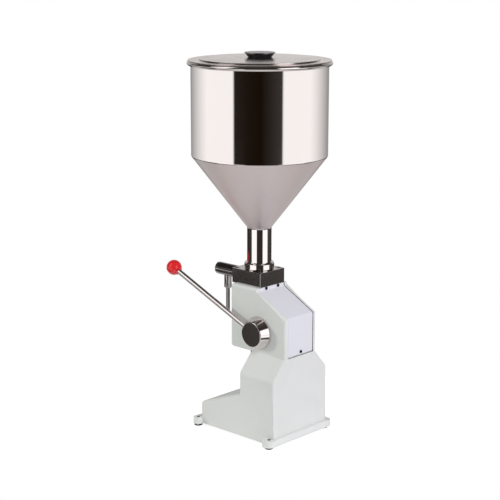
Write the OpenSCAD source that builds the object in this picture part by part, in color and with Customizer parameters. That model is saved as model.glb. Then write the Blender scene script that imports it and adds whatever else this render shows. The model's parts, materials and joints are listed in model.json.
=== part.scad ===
// Hand-lever piston liquid filler with hopper, check valves and painted stand.
// Units are millimetres, +Z up, front (nozzle side) at -Y, lever at +X.
// Origin: centre of the four bench bolt holes, on the table plane.

/* [Part to show] */

// One node name, or "all" for the whole filler.

/* [Stand] */

// Half width of the base and lower column.
base_half_w = 80; // [60:1:110]
// Half width of the upper housing.
body_half_w = 46; // [44:1:60]
// Front face of the base.
base_front_y = -95.5; // [-130:0.5:-80]
// Height of the base top at its front edge.
base_front_z = 51; // [35:1:70]
// Height where the sloping base top meets the column.
ramp_top_z = 93; // [75:1:120]
// Front face of the column.
column_front_y = 14; // [8:1:20]
// Rear face of the column and housing.
back_y = 107.5; // [95:0.5:130]
// Height where the column starts to flare out, going down.
flare_top_z = 175; // [165:1:178]
// Height where the flare reaches full width.
flare_low_z = 137.5; // [115:0.5:155]
// Gap between the pump cylinder and the front wall of the housing.
pump_front_gap = 1; // [0.5:0.5:4]
// Top face of the housing, under the valve block.
body_top_z = 307; // [306:1:308]
// Gap between the pump cylinder and the rear cover.
pump_back_gap = 3.5; // [3:0.5:6]
// Height where the sloping back starts.
slope_top_z = 300; // [298:0.5:302]
// Height where the sloping back becomes upright.
slope_low_z = 258; // [245:1:270]
// Wall thickness of the casting.
wall = 6; // [4:0.5:7]
// Thickness of the housing top plate.
top_plate_t = 8; // [7:0.5:9]
// Underside of the base above the table.
base_z = 5; // [4:0.5:8]
// Height of the ears and rear flange above their underside.
ear_h = 13; // [8:1:18]
// How much higher the rear flange is than the ears.
flange_up = 2; // [0:0.5:6]

/* [Feet] */

// How far the bench bolt holes lie outside the sides of the base.
foot_out = 3.5; // [2.5:0.5:8]
// Half spacing of the bench bolt holes front to back.
foot_y = 99.5; // [90:0.5:115]
// Radius of the bench bolt holes.
foot_hole_r = 3.5; // [2.5:0.1:4.5]
// Corner radius of the front ears.
front_ear_r = 10.5; // [9:0.5:14]
// Corner radius of the rear ears.
rear_ear_r = 14; // [10:0.5:18]
// Radius of a rubber foot.
foot_r = 8.5; // [7:0.5:9.5]
// Height of the small collar that holds a foot in its ear.
foot_plug_h = 2; // [1:0.5:4]

/* [Rear cover] */

// Half width of the cover opening.
cover_half_w = 37.5; // [34:0.5:39]
// Thickness of the cover sheet.
cover_t = 2.5; // [1.5:0.5:3]
// Lower edge of the cover.
cover_low_z = 176.5; // [176:0.5:180]
// Radius of the cover screw heads.
cover_head_r = 3.2; // [2.6:0.1:3.3]
// Height of the cover screw heads.
cover_head_h = 2.2; // [1.5:0.1:3]
// Radius of the cover screw shanks.
cover_shank_r = 2; // [1.5:0.25:2.5]
// Spacing from the middle to each upper cover screw.
cover_screw_x = 17.5; // [12:0.5:22]
// Height of the lower cover screw.
cover_screw_low_z = 184; // [182:0.5:187]

/* [Valve block] */

// Half width of the valve block.
block_half_w = 36; // [34:0.5:40]
// How far the valve block reaches past the front of the housing.
block_over_front = 5.5; // [4:0.5:8]
// How far the valve block reaches past the rear of the housing.
block_over_back = 1; // [0:0.5:3]
// Height of the valve block.
block_h = 30; // [28:1:34]
// Radius of the boss that takes the hopper neck.
boss_r = 27; // [26:0.5:29]
// Height of the boss above the block.
boss_h = 9; // [8:0.5:11]
// Radius of the inlet valve chamber.
chamber_r = 14; // [12:0.5:15]
// Radius of the outlet passage in the block.
passage_r = 6; // [4:0.5:7]
// Distance from each side of the block to its screws.
block_screw_side = 7; // [6.5:0.5:8]
// Distance from the front of the block to its screws.
block_screw_front = 7; // [6.5:0.5:9]
// Distance from the rear of the block to its screws.
block_screw_back = 9.5; // [8:0.5:10]
// Radius of the block screw heads.
block_head_r = 5; // [4:0.25:5.5]
// Height of the block screw heads.
block_head_h = 6; // [4:0.5:8]
// Radius of the block screw shanks.
block_shank_r = 3; // [2.5:0.25:3.5]

/* [Hopper] */

// Outer radius of the hopper cylinder.
hopper_r = 136; // [110:1:160]
// Wall thickness of the hopper.
hopper_wall = 1.7; // [1.2:0.1:2.5]
// Height where the cone meets the cylinder.
cone_top_z = 567.5; // [520:0.5:620]
// Height where the cone meets the neck.
cone_low_z = 421.5; // [400:0.5:440]
// Height of the rim top.
rim_z = 755; // [700:1:800]
// Radius of the rolled bead at the rim.
bead_r = 4.7; // [3:0.1:6]
// Outer radius of the neck.
neck_r = 24.6; // [22:0.1:24.8]
// Wall thickness of the neck.
neck_wall = 1.8; // [1.5:0.1:3]
// Outer radius of the union collar.
collar_r = 30.2; // [29.5:0.1:33]
// Height of the union collar.
collar_h = 14; // [13:0.5:16]
// Chamfer at the top of the union collar.
collar_chamfer = 2.5; // [1:0.5:2.5]
// Thickness of the hopper foot flange under the collar lip.
foot_flange_t = 2; // [1.5:0.1:2.5]

/* [Lid] */

// How far the lid reaches past the hopper wall.
lid_over = 5.5; // [4:0.5:7]
// Thickness of the lid sheet.
lid_t = 1.2; // [0.8:0.1:2]
// Width of the flat ring around the raised part of the lid.
lid_ring_w = 21.9; // [16:0.1:30]
// Height of the step.
lid_step_h = 2.4; // [1:0.1:4]
// Extra height of the raised disc at its middle.
lid_dome_h = 2; // [0.5:0.1:4]
// Depth of the skirt that keeps the lid centred.
skirt_h = 8; // [5:0.5:15]
// Radius of the knob at the lid.
knob_low_r = 23; // [18:0.5:26]
// Radius of the knob under its cap.
knob_top_r = 29; // [26:0.5:32]
// Height of the black part of the knob.
knob_h = 8; // [6:0.5:14]
// Radius of the metal knob cap.
knob_cap_r = 30.5; // [27:0.5:34]
// Thickness of the metal knob cap.
knob_cap_t = 2; // [1.5:0.1:3]

/* [Pump] */

// Forward offset of the pump and hopper axis from the foot centre.
pump_y = -5.5; // [-6:0.5:-5]
// Bore radius of the pump cylinder.
pump_bore_r = 25; // [24:0.5:25.5]
// Wall thickness of the pump cylinder.
pump_wall = 4; // [3:0.25:4.5]
// Lower end of the pump cylinder.
pump_low_z = 262; // [261.5:0.5:264]
// How far the cylinder flange reaches past the cylinder wall.
pump_flange_out = 3; // [2:0.5:4]
// Thickness of the pump cylinder flange.
pump_flange_t = 4; // [3:0.5:5]
// Length of the piston.
piston_h = 16; // [12:0.5:17]
// Radius of the piston rod.
rod_r = 6; // [5:0.5:7]
// Distance the piston rides below the block at the top of its stroke.
top_gap = 1; // [0.6:0.1:1.5]

/* [Lever drive] */

// Height of the lever shaft.
shaft_z = 218; // [216:0.5:219]
// Rearward position of the lever shaft.
shaft_y = 34.5; // [34:0.5:35]
// Radius of the lever shaft.
shaft_r = 9; // [8:0.25:9.5]
// Sideways distance from the shaft axis to the crosshead pin line.
cam_base_r = 26; // [25.5:0.25:26.5]
// Radius of the crosshead pin.
pin_r = 4; // [3.5:0.1:4.2]
// Half width of the crosshead.
crosshead_half_w = 9; // [8:0.25:9.2]
// Thickness of each cam plate.
cam_plate_t = 5; // [4:0.25:6]
// Material left around the cam slot.
cam_edge = 5; // [4:0.1:5.2]
// Radius of the cam hub.
cam_hub_r = 16; // [14:0.5:17]
// Radius of the lever hub at the housing.
hub_rear_r = 33.5; // [28:0.5:38]
// Radius of the lever hub at its front.
hub_front_r = 25.7; // [22:0.1:28]
// Length of the lever hub.
hub_l = 20; // [17:0.5:26]
// Radius of the lever rod.
lever_r = 5.45; // [4.5:0.05:6.5]
// Distance from the shaft axis to the ball centre.
lever_l = 250; // [200:1:300]
// Lever angle above level as stored.
lever_angle = 23.1; // [20:0.1:26]
// Radius of the ball.
ball_r = 16; // [13:0.5:20]
// Outer radius of the shaft bushes.
bush_r = 12; // [11:0.25:13]

/* [Discharge] */

// Height of the discharge pipe axis.
pipe_z = 318.5; // [317:0.5:320]
// Outer radius of the discharge pipe.
pipe_r = 12.75; // [12:0.25:14]
// Bore radius of the discharge pipe.
pipe_bore_r = 8.5; // [8:0.25:9]
// Front end of the discharge pipe.
pipe_front_y = -111.5; // [-125:0.5:-108]
// Length of the end cap outside the pipe.
cap_l = 10; // [7:0.5:14]
// Chamfer on the end cap.
cap_chamfer = 2; // [1:0.5:4]
// Position of the downward stub and nozzle.
nozzle_y = -94; // [-98:0.5:-90]
// Outer radius of the stub.
stub_r = 7.5; // [7:0.25:8.5]
// Lower end of the wide part of the stub.
stub_low_z = 289.5; // [286:0.5:292]
// Outer radius of the nozzle nut.
nut_r = 8; // [7.5:0.25:10]
// Outer radius of the nozzle tube.
nozzle_r = 4; // [3:0.25:4.5]
// Bore radius of the nozzle tube.
nozzle_bore_r = 2.8; // [2:0.1:3.2]
// Lower end of the nozzle tube.
nozzle_low_z = 230; // [200:1:245]

/* [Valves] */

// Radius of the inlet ball.
inlet_ball_r = 9.5; // [8.5:0.25:10.5]
// Bore radius of the inlet seat.
inlet_seat_r = 7.5; // [6:0.25:8]
// Radius of the outlet ball.
outlet_ball_r = 6; // [5.5:0.25:6.5]
// Bore radius of the outlet seat.
outlet_seat_r = 4.5; // [3.5:0.25:5]
// Wire radius of the valve springs.
wire_r = 0.6; // [0.4:0.1:0.8]

/* [Stroke stop] */

// Radius of the stop rod.
stop_r = 6; // [5:0.25:6.5]
// Distance from the rod axis to its flat.
stop_flat = 4.8; // [4:0.1:5.2]
// Upper end of the stop rod.
stop_top_z = 215; // [214:0.5:215]
// Lower end of the stop rod.
stop_low_z = 130; // [120:1:132]
// Radius of the stop wheel.
wheel_r = 17; // [15:0.5:17.5]
// Lower face of the stop wheel.
wheel_low_z = 156; // [153:0.5:158]
// Number of grips around the stop wheel.
wheel_grips = 18; // [12:1:24]

/* [Hidden] */

nodes_fn = 96;
$fn = nodes_fn;
run_gap = 0.05;
seat_gap = 0.02;
loose_gap = 0.35;
cut = 1;
foot_x = base_half_w + foot_out;
ear_top_z = base_z + ear_h;
pump_r = pump_bore_r + pump_wall;
pump_flange_r = pump_r + pump_flange_out;
body_front_y = pump_y - pump_r - pump_front_gap - wall;
tab_back_y = pump_y + pump_r + pump_back_gap + cover_t;
block_front_y = body_front_y - block_over_front;
block_back_y = tab_back_y + block_over_back;
block_screw_x = block_half_w - block_screw_side;
block_screw_front_y = block_front_y + block_screw_front;
block_screw_back_y = block_back_y - block_screw_back;
block_screw_low_z = body_top_z - 7;
lid_r = hopper_r + lid_over;
lid_step_r = lid_r - lid_ring_w;
skirt_r = hopper_r - hopper_wall - 1.7;
skirt_t = 1.2;
foot_plug_r = foot_r - 3;
ear_span_front = 24;
ear_span_rear = 20;
seal_groove_in = 2.5;
seal_groove_out = 5;
seal_groove_d = 2;
inlet_ring_r = 15;
plate_r = 18;
floor_bush_r = 14;
floor_bush_flange_r = 16;
guide_screw_r = 2;
stub_thread_r = 6.2;
arm_screw_r = 2.5;
arm_screw_x = 8;
hub_screw_r = 3;
block_top_z = body_top_z + block_h;
boss_top_z = block_top_z + boss_h;
floor_top_z = flare_top_z + wall;
inner_half_w = body_half_w - wall;
seat_low_z = block_top_z - 8;
seat_top_z = block_top_z - 1;
ledge_z = block_top_z + 3;
neck_low_z = ledge_z + 1.5;
plate_top_z = body_top_z + 3;
inlet_ball_z = seat_low_z - sqrt(inlet_ball_r * inlet_ball_r - inlet_seat_r * inlet_seat_r);
seat_front_y = block_front_y - 5;
outlet_ball_y = seat_front_y - sqrt(outlet_ball_r * outlet_ball_r - outlet_seat_r * outlet_seat_r);
spigot_r = 10.9;
spigot_y = block_front_y + 14.5;
plug_y = pipe_front_y + 6;
pin_y = shaft_y - cam_base_r;
turn_low = 0.25;
turn_top = 1.25;
turn_rest = 1.15;
deg = 180 / PI;
pin_z = shaft_z + cam_base_r * turn_rest;
piston_drop = cam_base_r * (turn_top - turn_rest);
piston_top_z = body_top_z - top_gap - piston_drop;
cam_in = crosshead_half_w + 0.6;
cam_out = cam_in + cam_plate_t;
slot_r = pin_r + loose_gap;
cam_rim = slot_r + cam_edge;
cam_steps = 16;
cam_arc = 10;
hub_x = body_half_w + 1;
lever_x = hub_x + hub_l / 2;
bush_bore_r = shaft_r + run_gap;
nut_low_z = stub_low_z - 9;
nozzle_top_z = nut_low_z + 3.5;
washer_top_z = nozzle_top_z + 0.9;
wheel_top_z = flare_top_z - 3;
wheel_neck_r = 9;
cover_screw_top_z = body_top_z - 3.5;
guide_z = floor_top_z + 8;
guide_top_z = guide_z + 5;
guide_half_x = 22;
guide_half_y = 12;
guide_leg = 5;
guide_screw_x = guide_half_x - guide_leg / 2;
lid_top_z = rim_z + lid_t + lid_step_h + lid_dome_h;
bead_x = hopper_r - hopper_wall + bead_r - 0.2;
bead_mid_z = rim_z - bead_r;

outer_side = [
    [base_front_y, base_z],
    [base_front_y, base_front_z],
    [column_front_y, ramp_top_z],
    [column_front_y, flare_top_z],
    [body_front_y, flare_top_z],
    [body_front_y, body_top_z],
    [tab_back_y, body_top_z],
    [tab_back_y, slope_top_z],
    [back_y, slope_low_z],
    [back_y, base_z]
];
inner_side = [
    [base_front_y + wall, base_z - cut],
    [base_front_y + wall, base_front_z - 4],
    [column_front_y + wall, ramp_top_z - 4],
    [column_front_y + wall, floor_top_z],
    [body_front_y + wall, floor_top_z],
    [body_front_y + wall, body_top_z - top_plate_t],
    [tab_back_y - wall, body_top_z - top_plate_t],
    [back_y - wall, slope_low_z - wall],
    [back_y - wall, base_z - cut]
];
outer_front = [
    [-base_half_w, 0],
    [-base_half_w, flare_low_z],
    [-body_half_w, flare_top_z],
    [-body_half_w, body_top_z + cut],
    [body_half_w, body_top_z + cut],
    [body_half_w, flare_top_z],
    [base_half_w, flare_low_z],
    [base_half_w, 0]
];
inner_front = [
    [wall - base_half_w, -cut],
    [wall - base_half_w, flare_low_z + 2],
    [wall - body_half_w, flare_top_z + 2],
    [wall - body_half_w, body_top_z],
    [body_half_w - wall, body_top_z],
    [body_half_w - wall, flare_top_z + 2],
    [base_half_w - wall, flare_low_z + 2],
    [base_half_w - wall, -cut]
];
cover_side = [
    [tab_back_y, body_top_z - 0.2],
    [tab_back_y, slope_top_z],
    [back_y, slope_low_z],
    [back_y, cover_low_z],
    [back_y - cover_t, cover_low_z],
    [back_y - cover_t, slope_low_z - cover_t * 0.6],
    [tab_back_y - cover_t, slope_top_z - cover_t * 0.6],
    [tab_back_y - cover_t, body_top_z - 0.2]
];
opening_side = [
    [tab_back_y + cut, body_top_z + cut],
    [back_y + 20, body_top_z + cut],
    [back_y + 20, cover_low_z - 0.5],
    [back_y - cover_t - 0.1, cover_low_z - 0.5],
    [back_y - cover_t - 0.1, slope_low_z - cover_t * 0.6 - 0.1],
    [tab_back_y - cover_t - 0.1, slope_top_z - cover_t * 0.6 - 0.1],
    [tab_back_y - cover_t - 0.1, body_top_z + cut]
];
window_side = [
    [tab_back_y - cover_t - cut, body_top_z - top_plate_t],
    [tab_back_y, body_top_z - top_plate_t],
    [back_y + cut, slope_low_z],
    [back_y + cut, cover_screw_low_z + 7],
    [back_y - 2 * wall, cover_screw_low_z + 7],
    [back_y - 2 * wall, slope_low_z - 2 * wall],
    [tab_back_y - 2 * wall, body_top_z - top_plate_t]
];

// Extrude a Y-Z outline across X.
module side_slab(outline, half) {
    translate([-half, 0, 0])
        rotate([90, 0, 90])
            linear_extrude(2 * half)
                polygon(outline);
}

// Extrude an X-Z outline along Y.
module front_slab(outline, y_low, y_high) {
    translate([0, y_high, 0])
        rotate([90, 0, 0])
            linear_extrude(y_high - y_low)
                polygon(outline);
}

// A box from its low corner to its high corner.
module span_box(low, high) {
    translate(low)
        cube(high - low);
}

// A cylinder along +X from x = from to x = to.
module rod_x(y, z, r, from, to) {
    translate([from, y, z])
        rotate([0, 90, 0])
            cylinder(r = r, h = to - from);
}

// A cylinder along +Y from y = from to y = to.
module rod_y(x, z, r, from, to) {
    translate([x, from, z])
        rotate([-90, 0, 0])
            cylinder(r = r, h = to - from);
}

// A cylinder along +Z from z = from to z = to.
module rod_z(x, y, r, from, to) {
    translate([x, y, from])
        cylinder(r = r, h = to - from);
}

// Repeat at the four bench bolt positions.
module at_feet() {
    for (sx = [-1, 1])
        for (sy = [-1, 1])
            translate([sx * foot_x, sy * foot_y, 0])
                children();
}

// One front ear and one rear ear, mirrored to both sides.
module ears() {
    front_y = -foot_y - front_ear_r;
    rear_y = foot_y + rear_ear_r;
    for (sx = [0, 1])
        mirror([sx, 0, 0]) {
            rod_z(foot_x, -foot_y, front_ear_r, base_z, ear_top_z);
            span_box([foot_x - ear_span_front, front_y, base_z], [foot_x, base_front_y + cut, ear_top_z]);
            span_box([foot_x - ear_span_front, -foot_y, base_z],
                     [foot_x + front_ear_r, base_front_y + 5, ear_top_z]);
            rod_z(foot_x, foot_y, rear_ear_r, base_z, ear_top_z);
            span_box([foot_x - ear_span_rear, foot_y, base_z], [foot_x, rear_y, ear_top_z]);
            span_box([foot_x - ear_span_rear, foot_y - 6, base_z],
                     [foot_x + rear_ear_r, foot_y, ear_top_z]);
        }
}

module stand() {
    color([0.93, 0.93, 0.91])
        difference() {
            union() {
                intersection() {
                    side_slab(outer_side, base_half_w);
                    front_slab(outer_front, base_front_y - cut, back_y + cut);
                }
                span_box([-base_half_w, back_y - cut, base_z],
                         [base_half_w, foot_y + rear_ear_r, ear_top_z + flange_up]);
                ears();
            }
            intersection() {
                side_slab(inner_side, base_half_w);
                front_slab(inner_front, base_front_y, back_y);
            }
            side_slab(opening_side, cover_half_w + 0.1);
            side_slab(window_side, cover_half_w - 3);
            rod_z(0, pump_y, pump_r + 0.1, body_top_z - 20, body_top_z + cut);
            rod_z(0, pump_y, pump_flange_r + 0.1, body_top_z - pump_flange_t, body_top_z + cut);
            rod_x(shaft_y, shaft_z, bush_r + seat_gap, -body_half_w - cut, body_half_w + cut);
            rod_z(0, pump_y, floor_bush_r + seat_gap, flare_top_z - cut, floor_top_z + cut);
            at_feet()
                rod_z(0, 0, foot_hole_r, 0, ear_top_z + cut);
            at_feet()
                rod_z(0, 0, foot_plug_r, base_z - cut, base_z + foot_plug_h + seat_gap);
            for (sx = [-1, 1]) {
                for (y = [block_screw_front_y, block_screw_back_y])
                    rod_z(sx * block_screw_x, y, block_shank_r + seat_gap,
                          block_screw_low_z - 10, body_top_z + cut);
                rod_z(sx * guide_screw_x, pump_y, guide_screw_r + seat_gap,
                      flare_top_z - cut, floor_top_z + cut);
                rod_y(sx * cover_screw_x, cover_screw_top_z, cover_shank_r + seat_gap,
                      tab_back_y - wall, back_y);
            }
            rod_y(0, cover_screw_low_z, cover_shank_r + seat_gap, back_y - 2 * wall, back_y + 10);
        }
}

module rubber_feet() {
    color([0.08, 0.08, 0.08])
        at_feet()
            difference() {
                union() {
                    rod_z(0, 0, foot_r, 0, base_z);
                    rod_z(0, 0, foot_plug_r - seat_gap, base_z, base_z + foot_plug_h);
                }
                rod_z(0, 0, foot_hole_r, -cut, base_z + foot_plug_h + cut);
            }
}

module back_cover() {
    color([0.88, 0.88, 0.92])
        difference() {
            side_slab(cover_side, cover_half_w - 0.2);
            for (sx = [-1, 1])
                rod_y(sx * cover_screw_x, cover_screw_top_z, cover_shank_r + 0.2,
                      tab_back_y - 10, tab_back_y + cut);
            rod_y(0, cover_screw_low_z, cover_shank_r + 0.2, back_y - 10, back_y + cut);
        }
}

// Pan head screw pointing toward -Y with its head seated at y = seat.
module cover_screw(x, z, seat, length) {
    difference() {
        union() {
            rod_y(x, z, cover_head_r, seat, seat + cover_head_h);
            rod_y(x, z, cover_shank_r, seat - length, seat);
        }
        span_box([x - cover_head_r * 0.7, seat + cover_head_h - 0.9, z - 0.4],
                 [x + cover_head_r * 0.7, seat + cover_head_h + cut, z + 0.4]);
    }
}

module cover_screws() {
    color([0.3, 0.3, 0.3]) {
        cover_screw(-cover_screw_x, cover_screw_top_z, tab_back_y, 5.5);
        cover_screw(cover_screw_x, cover_screw_top_z, tab_back_y, 5.5);
        cover_screw(0, cover_screw_low_z, back_y, 9);
    }
}

module valve_block() {
    color([0.2, 0.19, 0.18])
        difference() {
            union() {
                span_box([-block_half_w, block_front_y, body_top_z],
                         [block_half_w, block_back_y, block_top_z]);
                rod_z(0, pump_y, boss_r, block_top_z - cut, boss_top_z);
            }
            rod_z(0, pump_y, neck_r + 0.35, ledge_z, boss_top_z + cut);
            rod_z(0, pump_y, inlet_ring_r + seat_gap, seat_low_z, ledge_z + cut);
            rod_z(0, pump_y, chamber_r, body_top_z - cut, seat_low_z + cut);
            rod_z(0, pump_y, plate_r + seat_gap, body_top_z - cut, plate_top_z);
            rod_y(0, pipe_z, passage_r, block_front_y - cut, pump_y);
            rod_y(0, pipe_z, spigot_r + seat_gap, block_front_y - cut, spigot_y + 0.5);
            for (sx = [-1, 1])
                for (y = [block_screw_front_y, block_screw_back_y]) {
                    rod_z(sx * block_screw_x, y, block_shank_r + 0.2, body_top_z - cut, block_top_z + cut);
                    rod_z(sx * block_screw_x, y, block_head_r + 0.3,
                          block_top_z - block_head_h, block_top_z + cut);
                }
        }
}

module block_screws() {
    color([0.55, 0.55, 0.56])
        for (sx = [-1, 1])
            for (y = [block_screw_front_y, block_screw_back_y])
                difference() {
                    union() {
                        rod_z(sx * block_screw_x, y, block_head_r,
                              block_top_z - block_head_h, block_top_z - 0.5);
                        rod_z(sx * block_screw_x, y, block_shank_r,
                              block_screw_low_z, block_top_z - block_head_h);
                    }
                    translate([sx * block_screw_x, y, block_top_z - 3.5])
                        cylinder(r = block_head_r * 0.6, h = 4, $fn = 6);
                }
}

module pump_cylinder() {
    color([0.75, 0.75, 0.76])
        difference() {
            union() {
                rod_z(0, pump_y, pump_r, pump_low_z, body_top_z);
                rod_z(0, pump_y, pump_flange_r, body_top_z - pump_flange_t, body_top_z);
            }
            rod_z(0, pump_y, pump_bore_r, pump_low_z - cut, body_top_z + cut);
            difference() {
                rod_z(0, pump_y, pump_bore_r + seal_groove_out, body_top_z - seal_groove_d, body_top_z + cut);
                rod_z(0, pump_y, pump_bore_r + seal_groove_in, body_top_z - 3, body_top_z + 2);
            }
        }
}

module cylinder_seal() {
    color([0.1, 0.1, 0.1])
        difference() {
            rod_z(0, pump_y, pump_bore_r + seal_groove_out - seat_gap,
                  body_top_z - seal_groove_d, body_top_z - seat_gap);
            rod_z(0, pump_y, pump_bore_r + seal_groove_in + seat_gap, body_top_z - 3, body_top_z + cut);
        }
}

module inlet_seat() {
    color([0.8, 0.8, 0.8])
        difference() {
            rod_z(0, pump_y, inlet_ring_r, seat_low_z, seat_top_z);
            rod_z(0, pump_y, inlet_seat_r, seat_low_z - cut, seat_top_z + cut);
        }
}

module inlet_ball() {
    color([0.85, 0.85, 0.86])
        translate([0, pump_y, inlet_ball_z - run_gap])
            sphere(r = inlet_ball_r);
}

module spring_plate() {
    color([0.7, 0.7, 0.7])
        difference() {
            rod_z(0, pump_y, plate_r, body_top_z + 0.5, plate_top_z);
            rod_z(0, pump_y, 4, body_top_z, plate_top_z + cut);
            for (i = [0 : 5])
                translate([0, pump_y, 0])
                    rotate([0, 0, i * 60])
                        rod_z(11, 0, 3, body_top_z, plate_top_z + cut);
        }
}

// Round wire wound along +Z from z = 0.
module coil(mid_r, height, turns, steps) {
    count = round(turns * steps);
    sides = 8;
    ring = [for (k = [0 : sides - 1]) [wire_r * cos(k * 360 / sides), wire_r * sin(k * 360 / sides)]];
    rise = height - 2 * wire_r;
    verts = [for (i = [0 : count]) for (p = ring)
        [(mid_r + p[0]) * cos(i * 360 / steps),
         (mid_r + p[0]) * sin(i * 360 / steps),
         wire_r + rise * i / count + p[1]]];
    walls = [for (i = [0 : count - 1]) for (k = [0 : sides - 1])
        [i * sides + k,
         i * sides + (k + 1) % sides,
         (i + 1) * sides + (k + 1) % sides,
         (i + 1) * sides + k]];
    first = [for (k = [0 : sides - 1]) sides - 1 - k];
    last = [for (k = [0 : sides - 1]) count * sides + k];
    polyhedron(points = verts, faces = concat(walls, [first], [last]), convexity = 10);
}

module inlet_spring() {
    color([0.6, 0.6, 0.6])
        translate([0, pump_y, plate_top_z + 0.1])
            coil(6, inlet_ball_z - plate_top_z - 7.9, 2, 20);
}

module outlet_spring() {
    color([0.6, 0.6, 0.6])
        translate([0, plug_y + 0.1, pipe_z])
            rotate([-90, 0, 0])
                coil(4.9, outlet_ball_y - plug_y - 4.2, 9, 16);
}

module hopper() {
    cone_shift = 1.4 * hopper_wall;
    color([0.8, 0.79, 0.77])
        translate([0, pump_y, 0]) {
            rotate_extrude()
                polygon([
                    [neck_r, neck_low_z],
                    [neck_r, boss_top_z],
                    [boss_r - 0.1, boss_top_z],
                    [boss_r - 0.1, boss_top_z + foot_flange_t],
                    [neck_r, boss_top_z + foot_flange_t],
                    [neck_r, cone_low_z],
                    [hopper_r, cone_top_z],
                    [hopper_r, rim_z - bead_r],
                    [hopper_r - hopper_wall, rim_z - bead_r],
                    [hopper_r - hopper_wall, cone_top_z + 0.6],
                    [neck_r - neck_wall, cone_low_z + cone_shift],
                    [neck_r - neck_wall, neck_low_z]
                ]);
            translate([0, 0, bead_mid_z])
                rotate_extrude()
                    translate([bead_x, 0])
                        circle(r = bead_r);
        }
}

module neck_seal() {
    color([0.15, 0.15, 0.15])
        difference() {
            rod_z(0, pump_y, neck_r, ledge_z, neck_low_z);
            rod_z(0, pump_y, neck_r - neck_wall, ledge_z - cut, neck_low_z + cut);
        }
}

module hopper_collar() {
    low_z = block_top_z + 0.2;
    top_z = block_top_z + collar_h;
    color([0.75, 0.74, 0.72])
        difference() {
            union() {
                rod_z(0, pump_y, collar_r, low_z, top_z - collar_chamfer);
                translate([0, pump_y, top_z - collar_chamfer])
                    cylinder(r1 = collar_r, r2 = collar_r - collar_chamfer, h = collar_chamfer);
            }
            rod_z(0, pump_y, boss_r + 0.1, low_z - cut, boss_top_z + foot_flange_t + 0.1);
            rod_z(0, pump_y, neck_r + 0.15, low_z, top_z + cut);
        }
}

module discharge_pipe() {
    color([0.4, 0.39, 0.38])
        difference() {
            union() {
                rod_y(0, pipe_z, pipe_r, pipe_front_y, block_front_y - 0.05);
                rod_y(0, pipe_z, spigot_r, block_front_y - cut, spigot_y);
                rod_z(0, nozzle_y, stub_r, stub_low_z, pipe_z);
                rod_z(0, nozzle_y, stub_thread_r, washer_top_z + 0.05, stub_low_z + cut);
            }
            rod_y(0, pipe_z, pipe_bore_r, pipe_front_y - cut, spigot_y + cut);
            rod_z(0, nozzle_y, 3.5, washer_top_z - cut, pipe_z);
        }
}

module pipe_cap() {
    end_y = pipe_front_y - cap_l;
    color([0.6, 0.6, 0.6]) {
        rod_y(0, pipe_z, pipe_bore_r - seat_gap, pipe_front_y - 0.05, plug_y);
        rod_y(0, pipe_z, pipe_r, end_y + cap_chamfer, pipe_front_y - 0.05);
        translate([0, end_y, pipe_z])
            rotate([-90, 0, 0])
                cylinder(r1 = pipe_r - cap_chamfer, r2 = pipe_r, h = cap_chamfer);
    }
}

module outlet_seat() {
    color([0.8, 0.8, 0.8])
        difference() {
            rod_y(0, pipe_z, pipe_bore_r - seat_gap, seat_front_y, block_front_y);
            rod_y(0, pipe_z, outlet_seat_r, seat_front_y - cut, block_front_y + cut);
        }
}

module outlet_ball() {
    color([0.85, 0.85, 0.86])
        translate([0, outlet_ball_y - run_gap, pipe_z])
            sphere(r = outlet_ball_r);
}

module nozzle_nut() {
    color([0.6, 0.6, 0.6])
        difference() {
            rod_z(0, nozzle_y, nut_r, nut_low_z, stub_low_z - 0.1);
            rod_z(0, nozzle_y, stub_thread_r + run_gap, nut_low_z + 2, stub_low_z + cut);
            rod_z(0, nozzle_y, nozzle_r + 0.1, nut_low_z - cut, nut_low_z + 3);
        }
}

module nozzle_washer() {
    color([0.9, 0.9, 0.88])
        difference() {
            rod_z(0, nozzle_y, stub_thread_r - 0.1, nozzle_top_z, washer_top_z);
            rod_z(0, nozzle_y, nozzle_bore_r + 0.2, nozzle_top_z - cut, washer_top_z + cut);
        }
}

module nozzle_tube() {
    color([0.5, 0.49, 0.48])
        difference() {
            union() {
                rod_z(0, nozzle_y, nozzle_r, nozzle_low_z, nozzle_top_z);
                rod_z(0, nozzle_y, stub_thread_r - 0.1, nut_low_z + 2, nozzle_top_z);
            }
            rod_z(0, nozzle_y, nozzle_bore_r, nozzle_low_z - cut, nozzle_top_z + cut);
        }
}

module shaft_bushes() {
    color([0.75, 0.6, 0.3])
        for (side = [0, 1])
            mirror([side, 0, 0])
                difference() {
                    union() {
                        rod_x(shaft_y, shaft_z, bush_r, inner_half_w, body_half_w);
                        rod_x(shaft_y, shaft_z, bush_r + 3, inner_half_w - 2.5, inner_half_w);
                    }
                    rod_x(shaft_y, shaft_z, bush_bore_r, inner_half_w - 4, body_half_w + cut);
                }
}

module floor_bush() {
    color([0.75, 0.6, 0.3])
        difference() {
            union() {
                rod_z(0, pump_y, floor_bush_r, flare_top_z, floor_top_z);
                rod_z(0, pump_y, floor_bush_flange_r, flare_top_z - 2, flare_top_z);
            }
            rod_z(0, pump_y, wheel_neck_r + run_gap, flare_top_z - 3, floor_top_z + cut);
        }
}

// D-shaped section: a circle cut by a flat on the +X side.
module d_rod(r, flat, from, to) {
    difference() {
        rod_z(0, pump_y, r, from, to);
        span_box([flat, pump_y - r - cut, from - cut], [r + cut, pump_y + r + cut, to + cut]);
    }
}

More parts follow.
